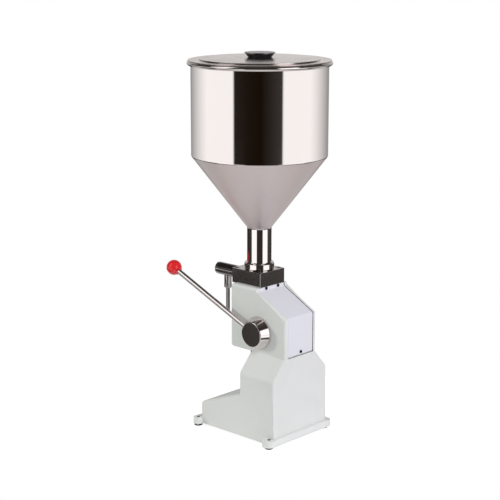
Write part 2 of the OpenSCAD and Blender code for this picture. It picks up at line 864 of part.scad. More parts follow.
module stop_guide() {
    color([0.7, 0.7, 0.72])
        difference() {
            span_box([-guide_half_x, pump_y - guide_half_y, floor_top_z],
                     [guide_half_x, pump_y + guide_half_y, guide_top_z]);
            span_box([guide_leg - guide_half_x, pump_y - guide_half_y - cut, floor_top_z - cut],
                     [guide_half_x - guide_leg, pump_y + guide_half_y + cut, guide_z]);
            d_rod(stop_r + run_gap, stop_flat + run_gap, guide_z - cut, guide_top_z + cut);
            for (sx = [-1, 1])
                rod_z(sx * guide_screw_x, pump_y, guide_screw_r + seat_gap,
                      floor_top_z - cut, guide_top_z + cut);
        }
}

module guide_screws() {
    color([0.4, 0.4, 0.4])
        for (sx = [-1, 1])
            difference() {
                union() {
                    rod_z(sx * guide_screw_x, pump_y, guide_screw_r, flare_top_z + 1, guide_top_z);
                    rod_z(sx * guide_screw_x, pump_y, guide_screw_r * 1.8, guide_top_z, guide_top_z + 3);
                }
                translate([sx * guide_screw_x, pump_y, guide_top_z + 1.2])
                    cylinder(r = 1.8, h = 3, $fn = 6);
            }
}

module stop_rod() {
    color([0.7, 0.7, 0.7])
        d_rod(stop_r, stop_flat, stop_low_z, stop_top_z);
}

module stop_wheel() {
    color([0.12, 0.12, 0.12])
        difference() {
            union() {
                rod_z(0, pump_y, wheel_r, wheel_low_z, wheel_top_z);
                rod_z(0, pump_y, wheel_neck_r, wheel_top_z, floor_top_z + 3);
            }
            rod_z(0, pump_y, stop_r + run_gap, wheel_low_z - cut, floor_top_z + 4);
            translate([0, pump_y, 0])
                for (i = [0 : wheel_grips - 1])
                    rotate([0, 0, i * 360 / wheel_grips])
                        rod_z(wheel_r + 1.4, 0, 2.4, wheel_low_z - cut, wheel_top_z + cut);
        }
}

module wheel_clip() {
    color([0.5, 0.5, 0.5])
        difference() {
            rod_z(0, pump_y, wheel_neck_r + 3.5, floor_top_z + 0.4, floor_top_z + 1.9);
            rod_z(0, pump_y, wheel_neck_r + seat_gap, floor_top_z - cut, floor_top_z + 3);
        }
}

module lever_shaft() {
    color([0.6, 0.6, 0.62])
        difference() {
            rod_x(shaft_y, shaft_z, shaft_r, -body_half_w - 4, hub_x + hub_l - 6.5);
            difference() {
                rod_x(shaft_y, shaft_z, shaft_r + cut, -body_half_w - 2.2, -body_half_w - 0.6);
                rod_x(shaft_y, shaft_z, shaft_r - 1, -body_half_w - 3, -body_half_w);
            }
        }
}

module shaft_clip() {
    color([0.3, 0.3, 0.3])
        difference() {
            rod_x(shaft_y, shaft_z, shaft_r + 4, -body_half_w - 2, -body_half_w - 0.8);
            rod_x(shaft_y, shaft_z, shaft_r - 1 + seat_gap, -body_half_w - 3, -body_half_w);
        }
}

// Point of the pin path in the cam plate's own frame, and its normal.
function cam_x(t) = cam_base_r * (cos(t * deg) + t * sin(t * deg));
function cam_z(t) = cam_base_r * (t * cos(t * deg) - sin(t * deg));
function cam_at(t, off) = [cam_x(t) + off * sin(t * deg), cam_z(t) + off * cos(t * deg)];

// Same point in the machine's Y-Z plane as stored.
function cam_world(p) = [
    shaft_y - (p[0] * cos(turn_rest * deg) - p[1] * sin(turn_rest * deg)),
    shaft_z + p[0] * sin(turn_rest * deg) + p[1] * cos(turn_rest * deg)
];
cam_list = [for (i = [0 : cam_steps]) turn_low + (turn_top - turn_low) * i / cam_steps];

// Half-circle of points that closes an outline at one end of the pin path.
function cam_end(t, r, sign) = [
    for (i = [1 : cam_arc - 1])
        let (a = t * deg + i * 180 / cam_arc)
            cam_world([cam_x(t) + sign * r * sin(a), cam_z(t) + sign * r * cos(a)])
];
function cam_upper(r) = [for (t = cam_list) cam_world(cam_at(t, r))];
function cam_lower(r, first) = [for (i = [cam_steps : -1 : first]) cam_world(cam_at(cam_list[i], -r))];

module cam_outline() {
    root = cam_hub_r - 1;
    polygon(concat(
        [cam_world([0, root])],
        cam_upper(cam_rim),
        cam_end(turn_top, cam_rim, 1),
        cam_lower(cam_rim, cam_steps / 4),
        [cam_world([0, -root])]
    ));
}

module cam_slot() {
    polygon(concat(
        cam_upper(slot_r),
        cam_end(turn_top, slot_r, 1),
        cam_lower(slot_r, 0),
        cam_end(turn_low, slot_r, -1)
    ));
}

module cam_arm() {
    color([0.45, 0.46, 0.48])
        difference() {
            union() {
                rod_x(shaft_y, shaft_z, cam_hub_r, -cam_out - 0.5, cam_out + 0.5);
                for (side = [-cam_out, cam_in])
                    translate([side, 0, 0])
                        rotate([90, 0, 90])
                            linear_extrude(cam_plate_t)
                                cam_outline();
            }
            for (side = [-cam_out - cut, cam_in - cut])
                translate([side, 0, 0])
                    rotate([90, 0, 90])
                        linear_extrude(cam_plate_t + 2 * cut)
                            cam_slot();
            rod_x(shaft_y, shaft_z, shaft_r + run_gap, -cam_out - cut, cam_out + cut);
            for (x = [-arm_screw_x, arm_screw_x])
                rod_y(x, shaft_z, arm_screw_r + seat_gap, shaft_y, shaft_y + cam_hub_r + cut);
        }
}

module arm_screws() {
    color([0.2, 0.2, 0.2])
        for (x = [-arm_screw_x, arm_screw_x])
            difference() {
                rod_y(x, shaft_z, arm_screw_r, shaft_y + shaft_r + 0.1, shaft_y + cam_hub_r - 0.5);
                translate([x, shaft_y + cam_hub_r - 2.5, shaft_z])
                    rotate([-90, 0, 0])
                        cylinder(r = 1.4, h = 3, $fn = 6);
            }
}

// Place along the lever: local +X runs from the shaft axis to the ball.
module along_lever() {
    translate([lever_x, shaft_y, shaft_z])
        rotate([-lever_angle, 0, 0])
            rotate([0, 0, -90])
                children();
}

module lever_hub() {
    color([0.7, 0.7, 0.7])
        difference() {
            translate([hub_x, shaft_y, shaft_z])
                rotate([0, 90, 0])
                    cylinder(r1 = hub_rear_r, r2 = hub_front_r, h = hub_l);
            rod_x(shaft_y, shaft_z, shaft_r + seat_gap, hub_x - cut, hub_x + hub_l - 6);
            along_lever()
                rod_x(0, 0, lever_r + seat_gap, 11, hub_rear_r + 10);
            along_lever()
                rod_x(0, 0, hub_screw_r + seat_gap, -hub_rear_r - 5, 0);
        }
}

module hub_screw() {
    color([0.2, 0.2, 0.2])
        along_lever()
            difference() {
                rod_x(0, 0, hub_screw_r, -22, -shaft_r - 0.1);
                translate([-23, 0, 0])
                    rotate([0, 90, 0])
                        cylinder(r = 1.7, h = 5, $fn = 6);
            }
}

module lever_rod() {
    color([0.35, 0.34, 0.34])
        along_lever()
            rod_x(0, 0, lever_r, 12, lever_l - 5);
}

module lever_ball() {
    color([0.8, 0.08, 0.08])
        along_lever()
            difference() {
                translate([lever_l, 0, 0])
                    sphere(r = ball_r);
                rod_x(0, 0, lever_r + seat_gap, lever_l - ball_r - 2, lever_l - 4.5);
            }
}

module piston() {
    color([0.82, 0.82, 0.82])
        difference() {
            rod_z(0, pump_y, pump_bore_r - run_gap, piston_top_z - piston_h, piston_top_z);
            difference() {
                rod_z(0, pump_y, pump_bore_r + 1, piston_top_z - 9.5, piston_top_z - 5.5);
                rod_z(0, pump_y, pump_bore_r - 3, piston_top_z - 11, piston_top_z - 4);
            }
            rod_z(0, pump_y, rod_r + seat_gap, piston_top_z - piston_h - cut, piston_top_z - 5);
        }
}

module piston_seal() {
    color([0.1, 0.1, 0.1])
        difference() {
            rod_z(0, pump_y, pump_bore_r - run_gap, piston_top_z - 9.4, piston_top_z - 5.6);
            rod_z(0, pump_y, pump_bore_r - 3 + seat_gap, piston_top_z - 11, piston_top_z - 4);
        }
}

module piston_rod() {
    color([0.78, 0.78, 0.78])
        rod_z(0, pump_y, rod_r, pin_z - 3, piston_top_z - 5.2);
}

module crosshead() {
    color([0.5, 0.5, 0.52])
        difference() {
            union() {
                rod_z(0, pump_y, crosshead_half_w, pin_z - 9, pin_z + 11);
                span_box([-crosshead_half_w, pump_y, pin_z - 7.5], [crosshead_half_w, pin_y, pin_z + 7.5]);
                rod_x(pin_y, pin_z, 7.5, -crosshead_half_w, crosshead_half_w);
            }
            rod_z(0, pump_y, rod_r + seat_gap, pin_z - 3.2, pin_z + 12);
            rod_x(pin_y, pin_z, pin_r + seat_gap, -crosshead_half_w - cut, crosshead_half_w + cut);
        }
}

module crosshead_pin() {
    color([0.65, 0.65, 0.67])
        rod_x(pin_y, pin_z, pin_r, -cam_out - 3, cam_out + 3);
}

module pin_clips() {
    color([0.3, 0.3, 0.3])
        for (side = [0, 1])
            mirror([side, 0, 0])
                difference() {
                    rod_x(pin_y, pin_z, pin_r + 2.5, cam_out + 0.6, cam_out + 1.8);
                    rod_x(pin_y, pin_z, pin_r + seat_gap, cam_out, cam_out + 3);
                }
}

module lid() {
    low = rim_z + 0.02;
    color([0.6, 0.58, 0.56])
        translate([0, pump_y, 0]) {
            rotate_extrude()
                polygon([
                    [0, low + lid_step_h + lid_dome_h],
                    [knob_low_r, low + lid_step_h + lid_dome_h],
                    [lid_step_r - 1, low + lid_step_h],
                    [lid_step_r + 2, low],
                    [lid_r, low],
                    [lid_r, low + lid_t],
                    [lid_step_r + 2.6, low + lid_t],
                    [lid_step_r - 0.6, low + lid_t + lid_step_h],
                    [knob_low_r, low + lid_t + lid_step_h + lid_dome_h],
                    [0, low + lid_t + lid_step_h + lid_dome_h]
                ]);
            difference() {
                rod_z(0, 0, skirt_r, rim_z - skirt_h, low + 0.5);
                rod_z(0, 0, skirt_r - skirt_t, rim_z - skirt_h - cut, rim_z + 2);
            }
        }
}

module lid_knob() {
    color([0.06, 0.06, 0.06])
        difference() {
            translate([0, pump_y, lid_top_z + 0.05])
                cylinder(r1 = knob_low_r, r2 = knob_top_r, h = knob_h);
            rod_z(0, pump_y, 3 + seat_gap, lid_top_z - cut, lid_top_z + knob_h - 1.5);
        }
}

module knob_cap() {
    low_z = lid_top_z + knob_h + 0.1;
    color([0.7, 0.7, 0.7]) {
        rod_z(0, pump_y, knob_cap_r, low_z, low_z + knob_cap_t - 0.6);
        translate([0, pump_y, low_z + knob_cap_t - 0.6])
            cylinder(r1 = knob_cap_r, r2 = knob_cap_r - 0.6, h = 0.6);
    }
}

module knob_screw() {
    under_z = rim_z + lid_step_h + lid_dome_h;
    color([0.6, 0.6, 0.6])
        difference() {
            rod_z(0, pump_y, 6, under_z - 3.5, under_z - 0.05);
            translate([0, pump_y, under_z - 4])
                cylinder(r = 2.5, h = 2.2, $fn = 6);
        }
}

stand();
rubber_feet();
back_cover();
cover_screws();
valve_block();
block_screws();
pump_cylinder();
cylinder_seal();
inlet_seat();
inlet_ball();
spring_plate();
inlet_spring();
hopper();
neck_seal();
hopper_collar();
discharge_pipe();
pipe_cap();
outlet_seat();
outlet_ball();
outlet_spring();
nozzle_nut();
nozzle_washer();
nozzle_tube();
shaft_bushes();
floor_bush();
stop_guide();
guide_screws();
stop_rod();
stop_wheel();
wheel_clip();
lever_shaft();
shaft_clip();
cam_arm();
arm_screws();
lever_hub();
hub_screw();
lever_rod();
lever_ball();
piston();
piston_seal();
piston_rod();
crosshead();
crosshead_pin();
pin_clips();
lid();
lid_knob();
knob_cap();
knob_screw();
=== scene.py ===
"""Looks of a hand-lever piston liquid filler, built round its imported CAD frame. Sizes are in metres."""

import json
import math

import bmesh
import bpy
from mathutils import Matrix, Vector


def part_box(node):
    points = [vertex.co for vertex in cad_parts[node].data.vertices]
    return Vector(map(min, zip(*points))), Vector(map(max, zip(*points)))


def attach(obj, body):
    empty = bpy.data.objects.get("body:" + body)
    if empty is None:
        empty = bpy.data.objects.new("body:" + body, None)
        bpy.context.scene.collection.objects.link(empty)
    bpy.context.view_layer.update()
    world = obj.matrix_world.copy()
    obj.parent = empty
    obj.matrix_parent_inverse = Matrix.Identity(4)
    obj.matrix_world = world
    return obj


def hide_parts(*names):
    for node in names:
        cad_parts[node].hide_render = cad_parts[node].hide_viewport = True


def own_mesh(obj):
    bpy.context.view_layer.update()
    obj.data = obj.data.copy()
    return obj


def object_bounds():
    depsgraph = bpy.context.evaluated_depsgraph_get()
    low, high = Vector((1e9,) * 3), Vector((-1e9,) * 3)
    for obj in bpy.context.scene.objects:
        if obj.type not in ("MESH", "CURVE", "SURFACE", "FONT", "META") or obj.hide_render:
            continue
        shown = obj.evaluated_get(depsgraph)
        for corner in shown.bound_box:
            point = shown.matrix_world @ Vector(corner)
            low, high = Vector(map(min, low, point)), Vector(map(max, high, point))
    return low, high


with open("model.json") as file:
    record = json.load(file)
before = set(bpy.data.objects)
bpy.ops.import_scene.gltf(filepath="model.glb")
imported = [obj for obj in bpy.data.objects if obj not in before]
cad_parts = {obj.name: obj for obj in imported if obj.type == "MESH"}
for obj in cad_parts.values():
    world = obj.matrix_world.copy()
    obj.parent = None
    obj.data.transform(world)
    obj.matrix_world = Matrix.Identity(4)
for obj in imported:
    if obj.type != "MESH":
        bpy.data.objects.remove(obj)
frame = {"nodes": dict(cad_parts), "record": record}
CAD_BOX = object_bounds()

bl_info = {
    "name": "Piston Liquid Filler",
    "version": (1, 0, 0),
    "blender": (4, 5, 0),
    "location": "View3D > Sidebar > Filler",
    "description": "Builds the finished look of a hand-lever piston liquid filler",
    "category": "Add Mesh",
}

MM = 0.001
# Radius of the flat that is left on the axis of a turned piece.
CORE = 1 * MM
# Radius of a lightly broken edge.
FINE = 0.5 * MM
# Distance within which two places are the same.
NEAR = 0.01 * MM
# Distance within which two vertices are merged.
MERGE = 0.001 * MM
# Rear face of the tab at the top of the rear cover.
TAB_Y = 29.5 * MM
# Top of the flange at the foot of the hopper neck.
FLANGE_TOP = 348 * MM
# Radius of the lid's middle under the knob.
KNOB_FOOT = 23 * MM
# Rise of the lever above level at rest.
LEVER_RISE = math.radians(23.1)
# Compass turn of the studio from +X to the camera's side.
CAMERA_SIDE = math.radians(40.3)


# ---------------------------------------------------------------- sizes and colours

def middle(node):
    """Centre of a CAD node's box."""
    low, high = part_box(node)
    return (low + high) / 2


def length_size(name, description, default):
    """A size that is set in metres."""
    return bpy.props.FloatProperty(
        name=name, description=description, default=default, unit="LENGTH", precision=4)


def colour_value(name, description, default):
    """A colour that is set in linear red, green and blue."""
    return bpy.props.FloatVectorProperty(
        name=name, description=description, default=default, subtype="COLOR", size=3, min=0, max=1)


class FillerSizes(bpy.types.PropertyGroup):
    """Sizes that the CAD boxes don't give."""

    cone_top: length_size("Cone top", "Height where the cone meets the barrel", 0.5675)
    cone_low: length_size("Cone foot", "Height where the cone meets the neck", 0.4215)
    sheet: length_size("Hopper sheet", "Thickness of the hopper wall", 0.0017)
    bead: length_size("Rim bead", "Radius of the rolled bead at the hopper rim", 0.0047)
    neck: length_size("Neck radius", "Outer radius of the hopper neck", 0.0246)
    casting_round: length_size("Casting rounding", "Radius of the long edges of the casting", 0.005)
    cover_bend: length_size("Cover bend", "Outer radius of the bends in the rear cover", 0.004)
    cover_gap: length_size("Cover gap", "Gap seen round the rear cover", 0.0014)
    block_round: length_size("Block edge", "Width of the broken edges of the valve block", 0.0006)
    floor_radius: length_size("Floor radius", "Radius of the pale floor", 0.36)


class FillerColours(bpy.types.PropertyGroup):
    """Colours of the finishes."""

    # Painted light colour: the casting's slight green and the cover's cooler tint are the side and rear
    # light's colours painted into the paint.
    casting: colour_value("Casting paint", "Grey-white paint of the stand", (0.735, 0.742, 0.72))
    cover: colour_value("Cover paint", "Cooler white paint of the rear cover", (0.735, 0.735, 0.775))
    steel: colour_value("Steel", "Polished stainless steel", (0.74, 0.695, 0.68))
    dark_metal: colour_value("Dark metal", "Blackened screws and clips", (0.05, 0.047, 0.045))
    grip: colour_value("Grip", "Red of the ball grip", (0.80, 0.018, 0.022))
    bronze: colour_value("Bronze", "Bearing bronze", (0.62, 0.40, 0.19))
    black: colour_value("Black", "Black rubber and moulded black", (0.016, 0.016, 0.017))
    seal: colour_value("Seal", "White plastic of the seals", (0.8, 0.8, 0.77))
    floor: colour_value("Floor", "Pale studio floor", (0.78, 0.78, 0.78))


def sizes():
    """The sizes that are set in the scene."""
    return bpy.context.scene.filler_sizes


def colours():
    """The colours that are set in the scene."""
    return bpy.context.scene.filler_colours


# ---------------------------------------------------------------- modelling by hand

def clear():
    """Leaves edit mode with nothing selected."""
    if bpy.context.object and bpy.context.object.mode != "OBJECT":
        bpy.ops.object.mode_set(mode="OBJECT")
    bpy.ops.object.select_all(action="DESELECT")


def name_piece(name):
    """Names the object that was just added."""
    piece = bpy.context.active_object
    piece.name = name
    piece.data.name = name
    return piece


def pick(piece, kind, test):
    """Selects the faces, edges or vertices of the piece in edit mode that pass a test, at least one."""
    bpy.ops.mesh.select_mode(type=kind)
    bpy.ops.mesh.select_all(action="DESELECT")
    mesh = bmesh.from_edit_mesh(piece.data)
    items = {"VERT": mesh.verts, "EDGE": mesh.edges, "FACE": mesh.faces}[kind]
    found = [item for item in items if test(item)]
    if not found:
        raise RuntimeError(piece.name + ": nothing to shape")
    for item in found:
        item.select = True
    mesh.select_flush_mode()
    bmesh.update_edit_mesh(piece.data)


def settle(piece, smooth=35):
    """Makes normals consistent, leaves edit mode and shades the piece smooth below an angle."""
    bpy.ops.mesh.select_mode(type="VERT")
    bpy.ops.mesh.select_all(action="SELECT")
    bpy.ops.mesh.normals_make_consistent(inside=False)
    bpy.ops.object.mode_set(mode="OBJECT")
    bpy.ops.object.shade_smooth_by_angle(angle=math.radians(smooth))
    return piece


def put(piece, place, along):
    """Stands the piece's own +Z along a direction at a place, and applies that to its mesh."""
    piece.rotation_mode = "QUATERNION"
    piece.rotation_quaternion = Vector((0, 0, 1)).rotation_difference(Vector(along))
    piece.location = place
    bpy.ops.object.transform_apply(location=True, rotation=True, scale=True)
    return piece


def rounded(points, steps=4):
    """Turns each (radius, height, corner) point that has a corner size into an arc of that radius."""
    outline = []
    for i, point in enumerate(points):
        here = Vector(point[:2])
        if len(point) < 3:
            outline.append(tuple(here))
            continue
        size = point[2]
        back = (Vector(points[i - 1][:2]) - here).normalized()
        ahead = (Vector(points[i + 1][:2]) - here).normalized()
        half = back.angle(ahead) / 2
        centre = here + (back + ahead).normalized() * size / math.sin(half)
        first = here + back * size / math.tan(half) - centre
        last = here + ahead * size / math.tan(half) - centre
        turn = first.angle_signed(last)
        start = math.atan2(first.y, first.x)
        for k in range(steps + 1):
            angle = start - turn * k / steps
            outline.append((centre.x + size * math.cos(angle), centre.y + size * math.sin(angle)))
    return outline


def arc(radius, height, size, start, stop, steps):
    """Points of an arc about (radius, height), from one angle in degrees to another."""
    angles = [math.radians(start + (stop - start) * k / steps) for k in range(steps + 1)]
    return [(radius + size * math.cos(a), height + size * math.sin(a)) for a in angles]


def hexagon(piece, radius):
    """Pulls the rings of one radius in to a hexagon with that corner radius."""
    side = math.pi / 3
    for vert in piece.data.vertices:
        if abs(math.hypot(vert.co.x, vert.co.y) - radius) < MERGE:
            angle = math.atan2(vert.co.y, vert.co.x) % side - side / 2
            share = math.cos(side / 2) / math.cos(angle)
            vert.co.x *= share
            vert.co.y *= share


def turned(name, profile, place=(0, 0, 0), along=(0, 0, 1), sides=96, closed=False, hex_radius=None,
           smooth=35):
    """Extrudes and scales a ring from point to point of a (radius, height) profile, as on a lathe."""
    clear()
    bpy.ops.mesh.primitive_circle_add(vertices=sides, radius=profile[0][0])
    piece = name_piece(name)
    bpy.ops.object.mode_set(mode="EDIT")
    bpy.ops.mesh.select_all(action="SELECT")
    bpy.ops.transform.translate(value=(0, 0, profile[0][1]))
    for (r0, h0), (r1, h1) in zip(profile, profile[1:]):
        bpy.ops.mesh.extrude_region_move(TRANSFORM_OT_translate={"value": (0, 0, h1 - h0)})
        if r1 != r0:
            bpy.ops.transform.resize(value=(r1 / r0, r1 / r0, 1), center_override=(0, 0, h1))
    bpy.ops.mesh.select_all(action="SELECT")
    if closed:
        bpy.ops.mesh.remove_doubles(threshold=MERGE)
    else:
        bpy.ops.mesh.fill_holes(sides=0)
    settle(piece, smooth)
    if hex_radius:
        hexagon(piece, hex_radius)
    return put(piece, place, along)


def repeated(name, first, offsets):
    """The first piece and a copy of it at each offset, each with its own mesh, joined as one piece."""
    clear()
    first.select_set(True)
    for offset in offsets:
        twin = first.copy()
        twin.data = first.data.copy()
        twin.location = offset
        bpy.context.scene.collection.objects.link(twin)
        twin.select_set(True)
    bpy.context.view_layer.objects.active = first
    bpy.ops.object.transform_apply(location=True, rotation=True, scale=True)
    bpy.ops.object.join()
    return name_piece(name)


def cast_copy(node, name):
    """A merged copy of a CAD node's mesh with its flat faces whole again, open for editing."""
    clear()
    mesh = frame["nodes"][node].data.copy()
    piece = bpy.data.objects.new(name, mesh)
    mesh.name = name
    mesh.materials.clear()
    bpy.context.scene.collection.objects.link(piece)
    piece.select_set(True)
    bpy.context.view_layer.objects.active = piece
    if mesh.has_custom_normals:
        bpy.ops.mesh.customdata_custom_splitnormals_clear()
    bpy.ops.object.mode_set(mode="EDIT")
    bpy.ops.mesh.select_all(action="SELECT")
    bpy.ops.mesh.remove_doubles(threshold=MERGE)
    bpy.ops.mesh.dissolve_limited(angle_limit=math.radians(0.5))
    return piece


def apply_modifier(piece, kind, **settings):
    """Adds a modifier to the piece and applies it."""
    clear()
    piece.select_set(True)
    bpy.context.view_layer.objects.active = piece
    modifier = piece.modifiers.new(kind, kind)
    for key, value in settings.items():
        setattr(modifier, key, value)
    bpy.ops.object.modifier_apply(modifier=modifier.name)
    if not piece.data.polygons:
        raise RuntimeError(piece.name + ": nothing left after its modifier")


def dress(piece, material, slot, body, *nodes):
    """Gives a piece its material and body, and hides the CAD nodes that it stands for. Its slot is not used.
    """
    apply_modifier(piece, "WEIGHTED_NORMAL", keep_sharp=True)
    piece.data.materials.clear()
    piece.data.materials.append(material)
    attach(piece, body)
    if nodes:
        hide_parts(*nodes)
    return piece


# ---------------------------------------------------------------- shared effects

def add(tree, kind, *links, **settings):
    """Adds a shader node. Links are (input, value or output socket); settings are its properties."""
    node = tree.nodes.new(kind)
    for key, value in settings.items():
        setattr(node, key, value)
    for socket, value in links:
        if isinstance(value, bpy.types.NodeSocket):
            tree.links.new(value, node.inputs[socket])
        else:
            node.inputs[socket].default_value = value
    return node


def new_group(name, inputs, outputs):
    """An empty shader node group with named number or vector sockets."""
    tree = bpy.data.node_groups.new(name, "ShaderNodeTree")
    for label, kind, default in inputs:
        socket = tree.interface.new_socket(label, in_out="INPUT", socket_type=kind)
        if default is not None:
            socket.default_value = default
    for label, kind in outputs:
        tree.interface.new_socket(label, in_out="OUTPUT", socket_type=kind)
    return tree, tree.nodes.new("NodeGroupInput").outputs, tree.nodes.new("NodeGroupOutput").inputs


def grain_group():
    """Fine grain: an even noise, as a mask and as a height."""
    tree, given, out = new_group(
        "Fine Grain",
        [("Vector", "NodeSocketVector", None), ("Scale", "NodeSocketFloat", 900.0),
         ("Low", "NodeSocketFloat", 0.3), ("High", "NodeSocketFloat", 0.5)],
        [("Mask", "NodeSocketFloat"), ("Value", "NodeSocketFloat")])
    noise = add(tree, "ShaderNodeTexNoise", ("Vector", given["Vector"]), ("Scale", given["Scale"]),
                ("Detail", 3.0))
    spread = add(tree, "ShaderNodeMapRange", ("Value", noise.outputs["Fac"]), ("From Min", 0.3),
                 ("From Max", 0.7), ("To Min", given["Low"]), ("To Max", given["High"]))
    tree.links.new(noise.outputs["Fac"], out["Mask"])
    tree.links.new(spread.outputs["Result"], out["Value"])
    return tree


def turning_group():
    """Turning marks: fine lines round the Z axis of the vector, from its radius and height."""
    tree, given, out = new_group(
        "Turning Marks",
        [("Vector", "NodeSocketVector", None), ("Lines", "NodeSocketFloat", 900.0),
         ("Low", "NodeSocketFloat", 0.1), ("High", "NodeSocketFloat", 0.2)],
        [("Mask", "NodeSocketFloat"), ("Value", "NodeSocketFloat")])
    split = add(tree, "ShaderNodeSeparateXYZ", ("Vector", given["Vector"]))
    flat = add(tree, "ShaderNodeCombineXYZ", ("X", split.outputs["X"]), ("Y", split.outputs["Y"]))
    radius = add(tree, "ShaderNodeVectorMath", (0, flat.outputs["Vector"]), operation="LENGTH")
    across = add(tree, "ShaderNodeVectorMath", (0, flat.outputs["Vector"]), (1, (0.01, 0.01, 0.01)),
                 operation="MULTIPLY")
    drift = add(tree, "ShaderNodeSeparateXYZ", ("Vector", across.outputs["Vector"]))
    place = add(tree, "ShaderNodeCombineXYZ", ("X", radius.outputs["Value"]), ("Y", split.outputs["Z"]),
                ("Z", drift.outputs["X"]))
    noise = add(tree, "ShaderNodeTexNoise", ("Vector", place.outputs["Vector"]), ("Scale", given["Lines"]),
                ("Detail", 4.0), ("Roughness", 0.7))
    spread = add(tree, "ShaderNodeMapRange", ("Value", noise.outputs["Fac"]), ("From Min", 0.3),
                 ("From Max", 0.7), ("To Min", given["Low"]), ("To Max", given["High"]))
    tree.links.new(noise.outputs["Fac"], out["Mask"])
    tree.links.new(spread.outputs["Result"], out["Value"])
    return tree


def handling_group():
    """Handling marks: soft patches where a surface is a little duller, as after wiping."""
    tree, given, out = new_group(
        "Handling Marks",
        [("Vector", "NodeSocketVector", None), ("Scale", "NodeSocketFloat", 14.0),
         ("Value", "NodeSocketFloat", 0.1), ("Amount", "NodeSocketFloat", 0.05)],
        [("Value", "NodeSocketFloat"), ("Mask", "NodeSocketFloat")])
    noise = add(tree, "ShaderNodeTexNoise", ("Vector", given["Vector"]), ("Scale", given["Scale"]),
                ("Detail", 6.0), ("Distortion", 0.6))
    mask = add(tree, "ShaderNodeMapRange", ("Value", noise.outputs["Fac"]), ("From Min", 0.48),
               ("From Max", 0.68))
    total = add(tree, "ShaderNodeMath", (0, mask.outputs["Result"]), (1, given["Amount"]),
                (2, given["Value"]), operation="MULTIPLY_ADD")
    tree.links.new(total.outputs["Value"], out["Value"])
    tree.links.new(mask.outputs["Result"], out["Mask"])
    return tree


def wear_group():
    """Edge wear: a mask that is bright on worn outer edges and broken up by noise."""
    tree, given, out = new_group(
        "Edge Wear",
        [("Vector", "NodeSocketVector", None), ("Start", "NodeSocketFloat", 0.54),
         ("End", "NodeSocketFloat", 0.66)],
        [("Mask", "NodeSocketFloat")])
    edges = add(tree, "ShaderNodeNewGeometry")
    noise = add(tree, "ShaderNodeTexNoise", ("Vector", given["Vector"]), ("Scale", 120.0), ("Detail", 5.0))
    sharp = add(tree, "ShaderNodeMapRange", ("Value", edges.outputs["Pointiness"]),
                ("From Min", given["Start"]), ("From Max", given["End"]))
    both = add(tree, "ShaderNodeMath", (0, sharp.outputs["Result"]), (1, noise.outputs["Fac"]),
               operation="MULTIPLY")
    tree.links.new(both.outputs["Value"], out["Mask"])
    return tree


def effect(tree, name, vector, *links):
    """Places a shared effect in a material."""
    node = tree.nodes.new("ShaderNodeGroup")
    node.node_tree = bpy.data.node_groups[name]
    tree.links.new(vector, node.inputs["Vector"])
    for socket, value in links:
        if isinstance(value, bpy.types.NodeSocket):
            tree.links.new(value, node.inputs[socket])
        else:
            node.inputs[socket].default_value = value
    return node.outputs


# ---------------------------------------------------------------- materials

def open_material(name, **constants):
    """A material with one Principled shader, whose constants are set on its own sockets."""
    material = bpy.data.materials.new(name)
    material.use_nodes = True
    tree = material.node_tree
    shader = tree.nodes["Principled BSDF"]
    for key, value in constants.items():
        shader.inputs[key.replace("_", " ")].default_value = value
    vector = add(tree, "ShaderNodeTexCoord").outputs["Object"]
    return material, tree, shader, vector


def relief(tree, shader, height, strength, depth):
    """Feeds a height to the shader's normal."""
    bump = add(tree, "ShaderNodeBump", ("Height", height), ("Strength", strength), ("Distance", depth))
    tree.links.new(bump.outputs["Normal"], shader.inputs["Normal"])


def tinted(tree, shader, mask, first, second):
    """Mixes two colours by a mask into the base colour."""
    blend = add(tree, "ShaderNodeMix", ("Factor", mask), data_type="RGBA")
    blend.inputs["A"].default_value = (*first, 1)
    blend.inputs["B"].default_value = (*second, 1)
    tree.links.new(blend.outputs["Result"], shader.inputs["Base Color"])
    return blend


def shade(colour, factor):
    """A colour made darker or lighter."""
    return tuple(min(1, c * factor) for c in colour)


def paint(name, colour):
    """Satin stoved paint over a casting or sheet: faint orange peel, patchy gloss, paler worn edges."""
    material, tree, shader, vector = open_material(name, Coat_Weight=0.1, Coat_Roughness=0.3, IOR=1.45)
    peel = effect(tree, "Fine Grain", vector, ("Scale", 420.0), ("Low", 0.36), ("High", 0.46))
    patches = effect(tree, "Handling Marks", vector, ("Scale", 9.0), ("Value", peel["Value"]),
                     ("Amount", 0.1))
    worn = effect(tree, "Edge Wear", vector)
    base = tinted(tree, shader, patches["Mask"], colour, shade(colour, 0.965))
    top = add(tree, "ShaderNodeMix", ("Factor", worn["Mask"]), data_type="RGBA")
    tree.links.new(base.outputs["Result"], top.inputs["A"])
    top.inputs["B"].default_value = (*shade(colour, 1.08), 1)
    tree.links.new(top.outputs["Result"], shader.inputs["Base Color"])
    tree.links.new(patches["Value"], shader.inputs["Roughness"])
    relief(tree, shader, peel["Mask"], 0.12, 0.0004)
    return material


def steel(name, colour, low, high, marks=0.03, lines=700.0, centre=(0, 0, 0), tilt=(0, 0, 0), bump=0.02):
    """Bright turned or polished steel: fine lines round the piece's own axis and wiping marks."""
    material, tree, shader, vector = open_material(name, Metallic=1.0)
    own = add(tree, "ShaderNodeMapping", ("Vector", vector), ("Location", centre), ("Rotation", tilt),
              vector_type="TEXTURE")
    lathe = effect(tree, "Turning Marks", own.outputs["Vector"], ("Lines", lines), ("Low", low),
                   ("High", high))
    wiped = effect(tree, "Handling Marks", vector, ("Scale", 22.0), ("Value", lathe["Value"]),
                   ("Amount", marks))
    tinted(tree, shader, wiped["Mask"], colour, shade(colour, 0.95))
    tree.links.new(wiped["Value"], shader.inputs["Roughness"])
    relief(tree, shader, lathe["Mask"], bump, 0.0002)
    return material


